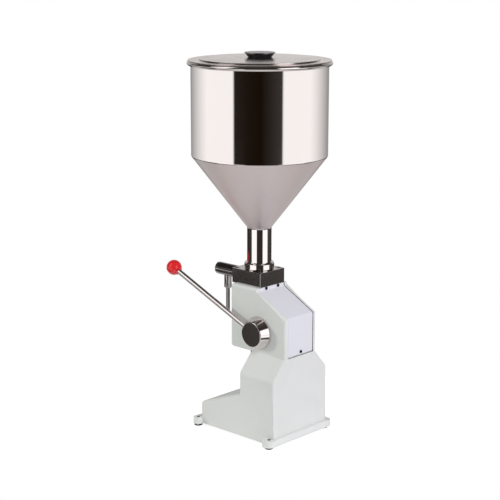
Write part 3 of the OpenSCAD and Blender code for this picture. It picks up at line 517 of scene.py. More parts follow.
def hopper_finish(name, colour, cone_top, cone_low, centre):
    """Hopper steel: mirror polish on the barrel and neck, a rougher ground finish on the cone between them.
    The cone's colour is darkened and warmed: painted reflection.
    """
    material, tree, shader, vector = open_material(name, Metallic=1.0)
    seam = 1 * MM
    own = add(tree, "ShaderNodeMapping", ("Vector", vector), ("Location", centre), vector_type="TEXTURE")
    height = add(tree, "ShaderNodeSeparateXYZ", ("Vector", vector))
    below = add(tree, "ShaderNodeMapRange", ("Value", height.outputs["Z"]), ("From Min", cone_top - seam),
                ("From Max", cone_top + seam), ("To Min", 1.0), ("To Max", 0.0))
    above = add(tree, "ShaderNodeMapRange", ("Value", height.outputs["Z"]), ("From Min", cone_low - seam),
                ("From Max", cone_low + seam), ("To Min", 0.0), ("To Max", 1.0))
    cone = add(tree, "ShaderNodeMath", (0, below.outputs["Result"]), (1, above.outputs["Result"]),
               operation="MULTIPLY")
    axis = own.outputs["Vector"]
    polish = effect(tree, "Turning Marks", axis, ("Lines", 500.0), ("Low", 0.035), ("High", 0.06))
    ground = effect(tree, "Turning Marks", axis, ("Lines", 1500.0), ("Low", 0.3), ("High", 0.44))
    rough = add(tree, "ShaderNodeMix", ("Factor", cone.outputs["Value"]), ("A", polish["Value"]),
                ("B", ground["Value"]), data_type="FLOAT")
    wiped = effect(tree, "Handling Marks", vector, ("Scale", 8.0), ("Value", rough.outputs["Result"]),
                   ("Amount", 0.012))
    # Painted reflection: the cone's steel is darkened and warmed to the tone it reflects.
    cone_painted_reflection = (colour[0] * 0.93, colour[1] * 0.88, colour[2] * 0.88)
    tinted(tree, shader, cone.outputs["Value"], colour, cone_painted_reflection)
    tree.links.new(wiped["Value"], shader.inputs["Roughness"])
    depth = add(tree, "ShaderNodeMath", (0, ground["Mask"]), (1, cone.outputs["Value"]), operation="MULTIPLY")
    relief(tree, shader, depth.outputs["Value"], 0.06, 0.0002)
    return material


def moulded(name, colour, low, high, grain=600.0, bump=0.1, coat=0.0, marks=0.06, dull=0.88):
    """Moulded plastic or rubber with a fine grain and handled patches."""
    material, tree, shader, vector = open_material(name, Coat_Weight=coat, Coat_Roughness=0.08)
    skin = effect(tree, "Fine Grain", vector, ("Scale", grain), ("Low", low), ("High", high))
    handled = effect(tree, "Handling Marks", vector, ("Scale", 30.0), ("Value", skin["Value"]),
                     ("Amount", marks))
    tinted(tree, shader, handled["Mask"], colour, shade(colour, dull))
    tree.links.new(handled["Value"], shader.inputs["Roughness"])
    relief(tree, shader, skin["Mask"], bump, 0.0002)
    return material


def make_materials():
    """Builds the shared effects and every material, and returns the materials by name of finish."""
    for build in (grain_group, turning_group, handling_group, wear_group):
        build()
    given, colour = sizes(), colours()
    pump = tuple(middle("hopper"))[:2] + (0,)
    hub = tuple(middle("lever_hub"))
    pipe = tuple(middle("discharge_pipe"))
    across = (0, math.pi / 2, 0)
    along = (math.pi / 2, 0, 0)
    rod = (math.pi / 2 - LEVER_RISE, 0, 0)
    metal = tuple(colour.steel)
    # Painted highlight: the lid is the same steel made lighter and warmer, for the lighter reflection on its
    # rim.
    lid_metal_painted_light = (metal[0] * 1.08, metal[1] * 1.01, metal[2])
    return {
        "painted_casting": paint("Casting Paint", tuple(colour.casting)),
        "painted_sheet": paint("Cover Paint", tuple(colour.cover)),
        "hopper_steel": hopper_finish("Hopper Steel", metal, given.cone_top, given.cone_low, pump),
        "lid_steel": steel("Lid Steel", lid_metal_painted_light, 0.16, 0.26, centre=pump, lines=900.0),
        "block_steel": steel("Block Steel", shade(metal, 0.85), 0.06, 0.1, centre=pump, lines=300.0),
        "bright_steel": steel("Bright Steel", metal, 0.05, 0.1, centre=hub, tilt=across),
        # Painted shade: the pipe is the same steel painted darker, for the dark reflections along it.
        "pipe_steel": steel("Pipe Steel Painted Dark", shade(metal, 0.4), 0.1, 0.18, centre=pipe, tilt=along),
        # Painted shade: the end cap is the same steel painted darker, though less dark than the pipe, for its
        # reflections.
        "end_steel_painted_dark": steel("End Cap Steel Painted Dark", shade(metal, 0.62), 0.1, 0.2, centre=pipe, tilt=along),
        "neck_steel": steel("Collar Steel", metal, 0.04, 0.07, centre=pump),
        # Painted shade: the knob cap is the lid's steel painted darker.
        "cap_steel_painted_dark": steel("Knob Cap Steel Painted Dark", shade(metal, 0.4), 0.2, 0.3, centre=pump, lines=900.0),
        "hub_steel": steel("Hub Steel", metal, 0.05, 0.09, centre=hub, tilt=across, lines=500.0),
        "rod_steel": steel("Lever Steel", metal, 0.03, 0.05, marks=0.01, lines=120.0, centre=hub, tilt=rod,
                           bump=0.0),
        # Painted shade: the nozzle tube is the same steel painted darker, for its dark reflections.
        "tube_steel": steel("Tube Steel Painted Dark", shade(metal, 0.38), 0.1, 0.16, centre=pipe, bump=0.01),
        "machined_steel": steel("Machined Steel", shade(metal, 0.85), 0.25, 0.35, lines=1400.0, centre=pump),
        "dark_steel": steel("Dark Steel", tuple(colour.dark_metal), 0.25, 0.4, lines=900.0),
        "bronze": steel("Bearing Bronze", tuple(colour.bronze), 0.2, 0.35, centre=hub, tilt=across),
        "black_rubber": moulded("Black Rubber", tuple(colour.black), 0.6, 0.8),
        "red_plastic": moulded("Red Grip", tuple(colour.grip), 0.2, 0.26, grain=90.0, bump=0.0,
                               coat=0.5, marks=0.02, dull=0.97),
        "black_plastic": moulded("Black Knob", tuple(colour.black), 0.3, 0.42),
        "white_plastic": moulded("White Seal", tuple(colour.seal), 0.4, 0.5),
    }


# ---------------------------------------------------------------- pieces

class Filler:
    """Materials that the operators share while the object is built."""

    materials = {}


def finish_of(slot):
    """The material of a finish."""
    return Filler.materials[slot]


def span(node, axis):
    """Lowest and highest value of a CAD node's box along one axis."""
    low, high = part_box(node)
    return low[axis], high[axis]


def radius_of(node, axis=0):
    """Half the width of a CAD node's box along one axis."""
    low, high = span(node, axis)
    return (high - low) / 2


def outer_edges(piece, least_face, least_length):
    """Selects the long outer edges between two broad faces."""
    recess = radius_of("back_cover") + 1 * MM
    recess_front = span("back_cover", 1)[0] - 1 * MM
    table_side = span("rubber_feet", 2)[1] + 0.2 * MM
    least_turn = math.radians(12)

    def outside(edge):
        if len(edge.link_faces) != 2 or not edge.is_convex or edge.calc_length() < least_length:
            return False
        if edge.calc_face_angle() < least_turn:
            return False
        if min(face.calc_area() for face in edge.link_faces) < least_face:
            return False
        ends = [vert.co for vert in edge.verts]
        if all(abs(co.x) < recess and co.y > recess_front for co in ends):
            return False
        return max(co.z for co in ends) > table_side

    pick(piece, "EDGE", outside)


def second_finish(piece, material, test):
    """Gives the faces that pass a test a second material."""
    piece.data.materials.append(material)
    for face in piece.data.polygons:
        if test(face, [piece.data.vertices[i].co for i in face.vertices]):
            face.material_index = 1


def paint_recess_shade(piece):
    """Painted shade: dark metal on the recess walls round the rear cover and in the bolt holes of the ears,
    standing for the shadow in the gap and the holes.
    """
    half = radius_of("back_cover") + FINE
    front = span("back_cover", 1)[0] - 1 * MM
    rearward = 0.9
    bolts = next(mount["dims"] for mount in frame["record"]["mounts"] if mount["name"] == "bench_bolts")
    hole = Vector((bolts["spacing_x_mm"], bolts["spacing_y_mm"])) / 2 * MM
    reach = (bolts["hole_r_mm"] + 0.1) * MM

    # Faces that get the painted shade: recess walls round the cover and the walls of the ear holes.
    def in_painted_shade(face, corners):
        if all(abs(co.x) < half and co.y > front for co in corners) and face.normal.y < rearward:
            return True
        return all((Vector((abs(co.x), abs(co.y))) - hole).length < reach for co in corners)

    second_finish(piece, finish_of("dark_steel"), in_painted_shade)


def build_stand():
    """Stand casting with its long edges rounded."""
    piece = cast_copy("stand", "finished_stand")
    outer_edges(piece, least_face=200 * MM * MM, least_length=12 * MM)
    bpy.ops.mesh.bevel(offset=sizes().casting_round, segments=4, affect="EDGES", clamp_overlap=False)
    settle(piece, 25)
    dress(piece, finish_of("painted_casting"), "painted_casting", "frame", "stand")
    # Painted shade in the cover recess and the ear holes.
    paint_recess_shade(piece)


def build_feet():
    """Four moulded rubber feet with rounded rims and a plug in the ear hole."""
    low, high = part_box("rubber_feet")
    radius = 8.5 * MM
    plug = 5.5 * MM
    seat = 5 * MM
    rim_round = 1.2 * MM
    profile = rounded([(CORE, low.z), (radius, low.z, rim_round), (radius, seat, FINE), (plug, seat),
                       (plug, high.z), (CORE, high.z)])
    first = turned("foot", profile, (low.x + radius, low.y + radius, 0), sides=48)
    along_x = high.x - low.x - 2 * radius
    along_y = high.y - low.y - 2 * radius
    offsets = [(0, along_y, 0), (along_x, 0, 0), (along_x, along_y, 0)]
    piece = repeated("finished_rubber_feet", first, offsets)
    dress(piece, finish_of("black_rubber"), "black_rubber", "frame", "rubber_feet")


def bent_strip(name, half, path):
    """A strip of sheet across X, extruded along a (y, z) path and open for editing."""
    clear()
    bpy.ops.mesh.primitive_plane_add(size=1)
    piece = name_piece(name)
    bpy.ops.object.mode_set(mode="EDIT")
    bpy.ops.mesh.select_all(action="SELECT")
    bpy.ops.transform.resize(value=(2 * half, 1, 1))
    pick(piece, "VERT", lambda vert: vert.co.y > 0)
    bpy.ops.mesh.delete(type="VERT")
    bpy.ops.mesh.select_all(action="SELECT")
    bpy.ops.transform.translate(value=(0, path[0][0] + 0.5, path[0][1]))
    for (y0, z0), (y1, z1) in zip(path, path[1:]):
        bpy.ops.mesh.extrude_region_move(TRANSFORM_OT_translate={"value": (0, y1 - y0, z1 - z0)})
    return piece


def build_cover():
    """Rear cover: one bent sheet with rounded bends, let into the back of the stand."""
    given = sizes()
    low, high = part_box("back_cover")
    gap = given.cover_gap
    tab_low = 300 * MM
    slope_low = 258 * MM
    thick = 2.5 * MM
    rim_round = 0.6 * MM
    half = high.x - gap / 2
    piece = bent_strip("finished_back_cover", half, [
        (TAB_Y, high.z - gap / 2), (TAB_Y, tab_low), (high.y, slope_low), (high.y, low.z + gap * 1.6)])

    def bent(edge):
        return len(edge.link_faces) == 2 and edge.calc_face_angle() > math.radians(10)

    pick(piece, "EDGE", bent)
    bpy.ops.mesh.bevel(offset=given.cover_bend / 2, segments=4, affect="EDGES", clamp_overlap=False)
    bpy.ops.mesh.select_all(action="SELECT")
    bpy.ops.mesh.normals_make_consistent(inside=False)
    faces = bmesh.from_edit_mesh(piece.data).faces
    if sum(face.normal.y * face.calc_area() for face in faces) < 0:
        bpy.ops.mesh.flip_normals()
    bpy.ops.object.mode_set(mode="OBJECT")
    apply_modifier(piece, "SOLIDIFY", thickness=thick, offset=-1.0)
    bpy.ops.object.mode_set(mode="EDIT")

    def rim(edge):
        outer = all(abs(abs(vert.co.x) - half) < NEAR for vert in edge.verts)
        return outer and edge.calc_face_angle(0) > math.radians(60)

    pick(piece, "EDGE", rim)
    bpy.ops.mesh.bevel(offset=rim_round, segments=2, affect="EDGES", clamp_overlap=True)
    settle(piece, 30)
    piece.location.x = gap / 2
    bpy.ops.object.transform_apply(location=True, rotation=True, scale=True)
    dress(piece, finish_of("painted_sheet"), "painted_sheet", "frame", "back_cover")


def socket_head(name, place, along, head, height, socket, depth):
    """Button-headed screw with a hexagon socket, from its seat up. Its shank stays below the surface."""
    floor = height - depth
    crown = height * 0.45
    profile = rounded([(socket * 0.3, floor), (socket, floor), (socket, height), (head, height, crown),
                       (head, 0), (head / 2, 0)], 5)
    return turned(name, profile, place, along, sides=48, hex_radius=socket, smooth=40)


def build_cover_screws():
    """Three screws of the rear cover."""
    rear = span("cover_screws", 1)[1]
    tall = 2.2 * MM
    head = 3.2 * MM
    side = 17.5 * MM
    upper = 303.5 * MM
    lower = 184 * MM
    first = socket_head("screw", (-side, TAB_Y, upper), (0, 1, 0), head, tall, head / 2, tall * 0.6)
    offsets = [(2 * side, 0, 0), (side, rear - tall - TAB_Y, lower - upper)]
    piece = repeated("finished_cover_screws", first, offsets)
    dress(piece, finish_of("dark_steel"), "dark_steel", "frame", "cover_screws")


def build_block():
    """Valve block with its machined edges broken."""
    piece = cast_copy("valve_block", "finished_valve_block")
    low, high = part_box("valve_block")
    shortest = 5 * MM

    def on_side(vert):
        x, y = vert.co.xy
        return min(abs(x - low.x), abs(x - high.x), abs(y - low.y), abs(y - high.y)) < NEAR

    def outer(edge):
        if len(edge.link_faces) != 2 or not edge.is_convex or edge.calc_face_angle() < math.radians(50):
            return False
        return all(on_side(vert) for vert in edge.verts) and edge.calc_length() > shortest

    pick(piece, "EDGE", outer)
    bpy.ops.mesh.bevel(offset=sizes().block_round, segments=3, affect="EDGES", clamp_overlap=False)
    settle(piece, 30)
    dress(piece, finish_of("block_steel"), "block_steel", "frame", "valve_block")


def build_block_screws():
    """Four socket screws that hold the valve block down."""
    low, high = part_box("block_screws")
    head = 5 * MM
    tall = 5.5 * MM
    socket = head * 0.55
    place = (low.x + head, low.y + head, high.z - tall)
    first = socket_head("screw", place, (0, 0, 1), head, tall, socket, tall / 2)
    along_x = high.x - low.x - 2 * head
    along_y = high.y - low.y - 2 * head
    offsets = [(0, along_y, 0), (along_x, 0, 0), (along_x, along_y, 0)]
    piece = repeated("finished_block_screws", first, offsets)
    dress(piece, finish_of("machined_steel"), "machined_steel", "frame", "block_screws")


def build_hopper():
    """Hopper: barrel with a rolled bead, cone and neck, one sheet spun to shape."""
    given = sizes()
    low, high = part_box("hopper")
    barrel = 136 * MM
    inner = barrel - given.sheet
    neck = given.neck
    bore = neck - 1.8 * MM
    flange = 26.9 * MM
    flange_low = 346 * MM
    corner = 4 * MM
    throat = 6 * MM
    bead = given.bead
    bead_radius = high.x - bead
    bead_height = high.z - bead
    leave = -math.degrees(math.acos((barrel - bead_radius) / bead))
    meet = math.degrees(math.acos((inner - bead_radius) / bead))
    outside = rounded([
        (bore, low.z), (neck, low.z), (neck, flange_low), (flange, flange_low), (flange, FLANGE_TOP),
        (neck, FLANGE_TOP), (neck, given.cone_low, throat), (barrel, given.cone_top, corner),
        (barrel, bead_height - bead)], 6)
    inside = rounded([(inner, bead_height), (inner, given.cone_top, corner), (bore, given.cone_low, throat),
                      (bore, low.z)], 6)
    profile = outside[:-1] + arc(bead_radius, bead_height, bead, leave, meet, 18) + inside[1:]
    place = (middle("hopper").x, middle("hopper").y, 0)
    piece = turned("finished_hopper", profile, place, sides=192, closed=True, smooth=28)
    dress(piece, finish_of("hopper_steel"), "hopper_steel", "frame", "hopper")


def build_collar():
    """Union collar that clamps the hopper neck to the block."""
    low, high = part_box("hopper_collar")
    outer = radius_of("hopper_collar")
    wide = 27.1 * MM
    narrow = 24.75 * MM
    slant = 2.5 * MM
    profile = rounded([
        (wide, low.z), (outer, low.z, FINE), (outer, high.z - slant, FINE), (outer - slant, high.z, FINE),
        (narrow, high.z), (narrow, FLANGE_TOP), (wide, FLANGE_TOP), (wide, low.z)])
    place = (middle("hopper_collar").x, middle("hopper_collar").y, 0)
    piece = turned("finished_hopper_collar", profile, place, sides=128, closed=True)
    dress(piece, finish_of("neck_steel"), "bright_steel", "frame", "hopper_collar")


def build_lid():
    """Lid with a flat rim, a raised and slightly domed middle, and a skirt."""
    low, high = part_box("lid")
    place = (middle("lid").x, middle("lid").y, 0)
    rim = radius_of("lid")
    rim_low = 755.02 * MM
    sheet = 1.2 * MM
    rim_top = rim_low + sheet
    step = 119.6 * MM
    raised = rim_top + 2.4 * MM
    dome = 20 * MM
    skirt_out = 132.6 * MM
    skirt_in = skirt_out - sheet
    hem = 0.3 * MM
    profile = rounded([
        (CORE, high.z), (KNOB_FOOT, high.z, dome), (step, raised, 0.9 * MM), (step, rim_top, FINE),
        (rim, rim_top, FINE), (rim, rim_low, 0.4 * MM), (skirt_out, rim_low), (skirt_out, low.z, hem),
        (skirt_in, low.z, hem), (skirt_in, rim_low), (step - sheet, rim_low), (step - sheet, raised - sheet),
        (KNOB_FOOT, high.z - sheet), (CORE, high.z - sheet)], 3)
    piece = turned("finished_lid", profile, place, sides=192, smooth=28)
    dress(piece, finish_of("lid_steel"), "lid_steel", "lid", "lid")


def build_knob():
    """Knob of the lid, wider at its top, and the cap let into it."""
    place = (middle("lid").x, middle("lid").y, 0)
    low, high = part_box("lid_knob")
    profile = rounded([(CORE, low.z), (KNOB_FOOT, low.z, 0.6 * MM), (radius_of("lid_knob"), high.z, 0.6 * MM),
                       (CORE, high.z)])
    knob = turned("finished_lid_knob", profile, place, sides=96)
    dress(knob, finish_of("black_plastic"), "black_plastic", "lid", "lid_knob")
    low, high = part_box("knob_cap")
    edge = radius_of("knob_cap")
    profile = rounded([(CORE, low.z), (edge, low.z, 0.3 * MM), (edge, high.z, 0.7 * MM), (CORE, high.z)])
    cap = turned("finished_knob_cap", profile, place, sides=96)
    # The knob cap takes the steel painted dark, a painted shade.
    dress(cap, finish_of("cap_steel_painted_dark"), "lid_steel", "lid", "knob_cap")


def pipe_axis():
    """Height of the discharge pipe's axis."""
    return span("discharge_pipe", 2)[1] - radius_of("discharge_pipe")


def build_pipe():
    """Discharge pipe with its down stub."""
    low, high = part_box("discharge_pipe")
    radius = radius_of("discharge_pipe")
    axis_z = pipe_axis()
    stub = 7.5 * MM
    length = high.y - low.y
    drop = axis_z - low.z
    pipe = turned("finished_discharge_pipe", [(CORE, 0), (radius, 0), (radius, length), (CORE, length)],
                  (0, high.y, axis_z), (0, -1, 0), sides=96)
    down = turned("stub", rounded([(CORE, 0), (stub, 0), (stub, drop, 0.4 * MM), (CORE, drop)]),
                  (0, middle("nozzle_nut").y, axis_z), (0, 0, -1), sides=64)
    apply_modifier(pipe, "BOOLEAN", object=down, operation="UNION", solver="EXACT")
    bpy.data.objects.remove(down)
    bpy.ops.object.shade_smooth_by_angle(angle=math.radians(35))
    # The pipe body takes the steel painted dark, a painted reflection; the stub below keeps the plain bright
    # steel.
    dress(pipe, finish_of("pipe_steel"), "bright_steel", "frame", "discharge_pipe")
    stub_top = axis_z - radius * 0.9

    def on_stub(face, corners):
        return all(co.z < stub_top for co in corners)

    second_finish(pipe, finish_of("bright_steel"), on_stub)


def build_pipe_cap():
    """End cap of the discharge pipe, with a slanted edge."""
    low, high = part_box("pipe_cap")
    radius = radius_of("pipe_cap")
    depth = high.y - low.y
    slant = 2 * MM
    edge = 0.4 * MM
    profile = rounded([(CORE, 0), (radius, 0), (radius, depth - slant, edge), (radius - slant, depth, edge),
                       (CORE, depth)])
    cap = turned("finished_pipe_cap", profile, (0, high.y, pipe_axis()), (0, -1, 0), sides=96)
    # The end cap has the steel painted darker as a painted reflection.
    dress(cap, finish_of("end_steel_painted_dark"), "bright_steel", "frame", "pipe_cap")


def build_nut():
    """Hexagon nut that holds the filling tube."""
    low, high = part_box("nozzle_nut")
    corner = radius_of("nozzle_nut")
    face = corner * 0.86
    tall = high.z - low.z
    slant = 1 * MM
    bore = 4.1 * MM
    profile = [(bore, 0), (face, 0), (corner, slant), (corner, tall - slant), (face, tall), (bore, tall),
               (bore, 0)]
    nut = turned("finished_nozzle_nut", profile, (0, middle("nozzle_nut").y, low.z), sides=48, closed=True,
                 hex_radius=corner, smooth=25)
    dress(nut, finish_of("machined_steel"), "bright_steel", "frame", "nozzle_nut")


def build_hub():
    """Lever hub, with a short straight rim and a rounded nose."""
    low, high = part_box("lever_hub")
    centre = middle("lever_hub")
    wide = radius_of("lever_hub", 1)
    narrow = 25.7 * MM
    depth = high.x - low.x
    profile = rounded([(CORE, 0), (wide, 0, 0.4 * MM), (wide, 1.6 * MM, 1.2 * MM), (narrow, depth, 2 * MM),
                       (CORE, depth)], 5)
    hub = turned("finished_lever_hub", profile, (low.x, centre.y, centre.z), (1, 0, 0), sides=128)
    dress(hub, finish_of("hub_steel"), "bright_steel", "lever", "lever_hub")


def build_rod_and_grip():
    """Lever rod and its ball grip."""
    centre = middle("lever_hub")
    along = Vector((0, -math.cos(LEVER_RISE), math.sin(LEVER_RISE)))
    foot = Vector((middle("lever_rod").x, centre.y, centre.z))
    radius = radius_of("lever_rod")
    start = 12 * MM
    stop = 245 * MM
    profile = rounded([(CORE, start), (radius, start), (radius, stop, FINE), (CORE, stop)])
    rod = turned("finished_lever_rod", profile, foot, along, sides=64)
    dress(rod, finish_of("rod_steel"), "bright_steel", "lever", "lever_rod")
    ball = 16 * MM
    reach = 250 * MM
    collar = 8.2 * MM
    foot_drop = ball * 0.96
    drop = math.degrees(math.acos(collar / ball))
    profile = [(radius + 0.05 * MM, -foot_drop), (collar, -foot_drop)] + arc(0, 0, ball, -drop, 89, 28)
    grip = turned("finished_lever_ball", profile, foot + along * reach, along, sides=96, smooth=60)
    dress(grip, finish_of("red_plastic"), "red_plastic", "lever", "lever_ball")


def build_springs():
    """The two valve springs, copied from the CAD, shaded smooth and each given its own mesh."""
    for node, joint, axis in (("inlet_spring", "inlet_valve", 2), ("outlet_spring", "outlet_valve", 1)):
        piece = cast_copy(node, "finished_" + node)
        settle(piece, 60)
        dress(piece, finish_of("machined_steel"), "machined_steel", "frame", node)
        low, high = span(node, axis)
        foot = middle(node)
        foot[axis] = low
        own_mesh(piece)


def build_stop():
    """Knurled wheel of the stroke stop with its edges broken."""
    piece = cast_copy("stop_wheel", "finished_stop_wheel")

    def sharp(edge):
        return len(edge.link_faces) == 2 and edge.is_convex and edge.calc_face_angle() > math.radians(60)

    pick(piece, "EDGE", sharp)
    bpy.ops.mesh.bevel(offset=0.4 * MM, segments=2, affect="EDGES", clamp_overlap=True)
    settle(piece, 30)
    dress(piece, finish_of("black_plastic"), "black_plastic", "stop_wheel", "stop_wheel")


def finish_nodes():
    """Gives every CAD node that is still seen its own material."""
    # The nozzle tube takes the steel painted dark, a painted reflection.
    special = {"lever_shaft": "bright_steel", "nozzle_tube": "tube_steel"}
    for name, node in frame["nodes"].items():
        for holder in node.material_slots:
            slot = holder.material.name.split(".")[0]
            holder.material = finish_of(special.get(name, slot))


# ---------------------------------------------------------------- floor, light and camera

def warm(grey):
    """A grey whose dark end is slightly brown."""
    return (grey + 0.005, grey, max(0, grey - 0.003), 1)


def band(tree, angle, stops):
    """A grey level round the compass, from (degrees from the camera side, grey) pairs."""
    share = add(tree, "ShaderNodeMapRange", ("Value", angle), ("From Min", -math.pi), ("From Max", math.pi))
    ramp = add(tree, "ShaderNodeValToRGB", ("Fac", share.outputs["Result"]))
    elements = ramp.color_ramp.elements
    while len(elements) > 1:
        elements.remove(elements[-1])
    for count, (degrees, grey) in enumerate(stops):
        position = (degrees + 180) / 360
        element = elements.new(position) if count else elements[0]
        element.position = position
        element.color = warm(grey)
    return ramp.outputs["Color"]


def mirrored(stops):
    """The same stops on the other side of the compass."""
    return [(-degrees, grey) for degrees, grey in reversed(stops) if degrees]


def above(tree, height, low, high, under, over):
    """Mixes from one colour to another between two elevations in degrees."""
    share = add(tree, "ShaderNodeMapRange", ("Value", height), ("From Min", math.sin(math.radians(low))),
                ("From Max", math.sin(math.radians(high))))
    blend = add(tree, "ShaderNodeMix", ("Factor", share.outputs["Result"]), data_type="RGBA")
    for socket, colour in (("A", under), ("B", over)):
        if isinstance(colour, bpy.types.NodeSocket):
            tree.links.new(colour, blend.inputs[socket])
        else:
            blend.inputs[socket].default_value = (*colour, 1)
    return blend.outputs["Result"]


def screens(tree, height, angle):
    """What the steel mirrors: dark and white screens round the object in layers, and a dark ceiling."""
    dark = 0.03
    white = 1.3
    bright = 1.4
    lamp = 1.5
    sides = [(42.5, 1.24), (95, 1.25), (110, 1.05), (122, 0.85), (138, 0.6), (156, 0.36), (180, 0.34)]
    floor_side = [(0, 0.5), (40, 0.45), (50, 0.06), (104, 0.08), (122, 0.6), (180, 0.75)]
    ground = (0.8, 0.76, 0.75)
    ceiling = (0.07, 0.065, 0.06)
    low_wall = mirrored(floor_side) + floor_side
    deep = [(-180, dark), (-88, 0.035), (-75, 0.07), (-70, bright), (-24, bright), (-20, dark), (33, dark),
            (37, bright), (83, bright), (87, 0.07), (100, 0.06), (180, dark)]
    wall = mirrored(sides) + [(-39.5, 0.018), (-20, 0.009), (5, 0.005), (39.5, 0.045)] + sides
    mid_wall = [(-180, 0.75), (-150, 0.55), (-125, dark), (30, 0.02), (36, lamp), (64, lamp), (70, dark),
                (125, dark), (150, 0.55), (180, 0.75)]
    high_wall = [(-180, 0.6), (-150, 0.5), (-120, 0.05), (-84, dark), (-79, white), (-52, white), (-47, dark),
                 (30, dark), (36, lamp), (64, lamp), (70, 0.05), (120, 0.05), (150, 0.5), (180, 0.6)]
    upper = [(-180, 0.05), (-82, dark), (-78, white), (-50, white), (-46, dark), (180, 0.05)]
    look = above(tree, height, -52, -46, ground, band(tree, angle, low_wall))
    layers = ((-24, -20, deep), (-11.5, -10.5, wall), (-3.5, -1.5, mid_wall), (9, 12, high_wall),
              (28, 32, upper))
    for low, high, stops in layers:
        look = above(tree, height, low, high, look, band(tree, angle, stops))
    return above(tree, height, 56, 61, look, ceiling)


def soft_light(tree, height, across):
    """What lights the paint: a soft grey, cooler at the rear, weaker overhead and from below."""
    side = add(tree, "ShaderNodeMapRange", ("Value", across), ("From Min", -0.7), ("From Max", 0.7))
    tone = add(tree, "ShaderNodeMix", ("Factor", side.outputs["Result"]), data_type="RGBA")
    tone.inputs["A"].default_value = (0.97, 1.0, 0.95, 1)
    tone.inputs["B"].default_value = (0.99, 0.975, 1.06, 1)
    rising = add(tree, "ShaderNodeMapRange", ("Value", height), ("From Min", -0.5), ("From Max", 0.0),
                 ("To Min", 0.42), ("To Max", 0.62))
    falling = add(tree, "ShaderNodeMapRange", ("Value", height), ("From Min", 0.1), ("From Max", 0.9),
                  ("To Min", 0.62), ("To Max", 0.36))
    lower = add(tree, "ShaderNodeMath", (0, rising.outputs["Result"]), (1, falling.outputs["Result"]),
                operation="MINIMUM")
    soft = add(tree, "ShaderNodeVectorMath", (0, tone.outputs["Result"]), ("Scale", lower.outputs["Value"]),
               operation="SCALE")
    return soft.outputs["Vector"]


def studio_world():
    """A studio all round: screens for the polished steel, soft light for the rest, white behind."""
    world = bpy.data.worlds.new("Studio")
    bpy.context.scene.world = world
    world.use_nodes = True
    tree = world.node_tree
    tree.nodes.clear()
    towards = add(tree, "ShaderNodeTexCoord").outputs["Generated"]
    own = add(tree, "ShaderNodeMapping", ("Vector", towards), ("Rotation", (0, 0, -CAMERA_SIDE)),
              vector_type="POINT")
    split = add(tree, "ShaderNodeSeparateXYZ", ("Vector", own.outputs["Vector"])).outputs
    angle = add(tree, "ShaderNodeMath", (0, split["Y"]), (1, split["X"]), operation="ARCTAN2")
    look = screens(tree, split["Z"], angle.outputs["Value"])
    soft = soft_light(tree, split["Z"], split["Y"])
    path = add(tree, "ShaderNodeLightPath").outputs
    first = add(tree, "ShaderNodeMath", (0, path["Diffuse Depth"]), (1, 0.5), operation="LESS_THAN")
    glossy = add(tree, "ShaderNodeMath", (0, path["Is Glossy Ray"]), (1, first.outputs["Value"]),
                 operation="MULTIPLY")
    lit = add(tree, "ShaderNodeMix", ("Factor", glossy.outputs["Value"]), data_type="RGBA")
    tree.links.new(soft, lit.inputs["A"])
    tree.links.new(look, lit.inputs["B"])
    shown = add(tree, "ShaderNodeMix", ("Factor", path["Is Camera Ray"]), data_type="RGBA")
    tree.links.new(lit.outputs["Result"], shown.inputs["A"])
    shown.inputs["B"].default_value = (1, 1, 1, 1)
    background = add(tree, "ShaderNodeBackground", ("Color", shown.outputs["Result"]), ("Strength", 1.0))
    output = add(tree, "ShaderNodeOutputWorld")
    tree.links.new(background.outputs["Background"], output.inputs["Surface"])


def floor_material():
    """Pale floor, very slightly mottled, that looks almost white from the camera."""
    material, tree, shader, vector = open_material("Pale Floor", Roughness=0.9, Specular_IOR_Level=0.1)
    mottle = effect(tree, "Fine Grain", vector, ("Scale", 6.0), ("Low", 0.97), ("High", 1.0))
    tone = tuple(colours().floor)
    tinted(tree, shader, mottle["Value"], shade(tone, 0.99), tone)
    shader.inputs["Emission Color"].default_value = (1, 1, 1, 1)
    path = add(tree, "ShaderNodeLightPath")
    glow = add(tree, "ShaderNodeMapRange", ("Value", path.outputs["Is Camera Ray"]), ("To Min", 0.12),
               ("To Max", 0.75))
    tree.links.new(glow.outputs["Result"], shader.inputs["Emission Strength"])
    return material


def area_light(name, place, aim, width, power, colour):
    """A soft square lamp that points at a place and isn't mirrored in the steel."""
    clear()
    bpy.ops.object.light_add(type="AREA", location=place)
    lamp = bpy.context.active_object
    lamp.name = name
    lamp.data.size = width
    lamp.data.energy = power
    lamp.data.color = colour
    lamp.rotation_euler = (Vector(aim) - Vector(place)).to_track_quat("-Z", "Y").to_euler()
    lamp.visible_glossy = False


def place_camera():
    """Camera on the lever side, seen from the rear corner and a little from above."""
    centre = Vector((0.01176, -0.02027, 0.37338))
    forward = Vector((-0.71022852, -0.66761201, -0.22331512))
    distance = 2.75
    roll = math.radians(0.07)
    clear()
    bpy.ops.object.camera_add(location=centre - forward * distance)
    camera = bpy.context.active_object
    camera.name = "Camera"
    camera.data.lens = 98.0205
    camera.data.sensor_width = 36
    camera.data.dof.use_dof = False
    camera.rotation_euler = forward.to_track_quat("-Z", "Y").to_euler()
    camera.rotation_euler.rotate_axis("Z", roll)
    bpy.context.scene.camera = camera


def build_stage():
    """Pale round floor, the studio, two lamps and the camera."""
    clear()
    bpy.ops.mesh.primitive_circle_add(vertices=128, radius=sizes().floor_radius, fill_type="NGON")
    floor = name_piece("Floor")
    floor.data.materials.append(floor_material())
    studio_world()
    low, high = CAD_BOX
    aim = (low + high) / 2
    area_light("Side Light", (1.35, -1.5, 0.75), aim, width=0.3, power=13, colour=(0.99, 1.0, 0.97))
    area_light("Rear Light", (0.3, 1.7, 1.3), aim, width=0.7, power=24, colour=(0.97, 0.965, 1.0))
    place_camera()
    bpy.context.scene.view_settings.view_transform = "Standard"


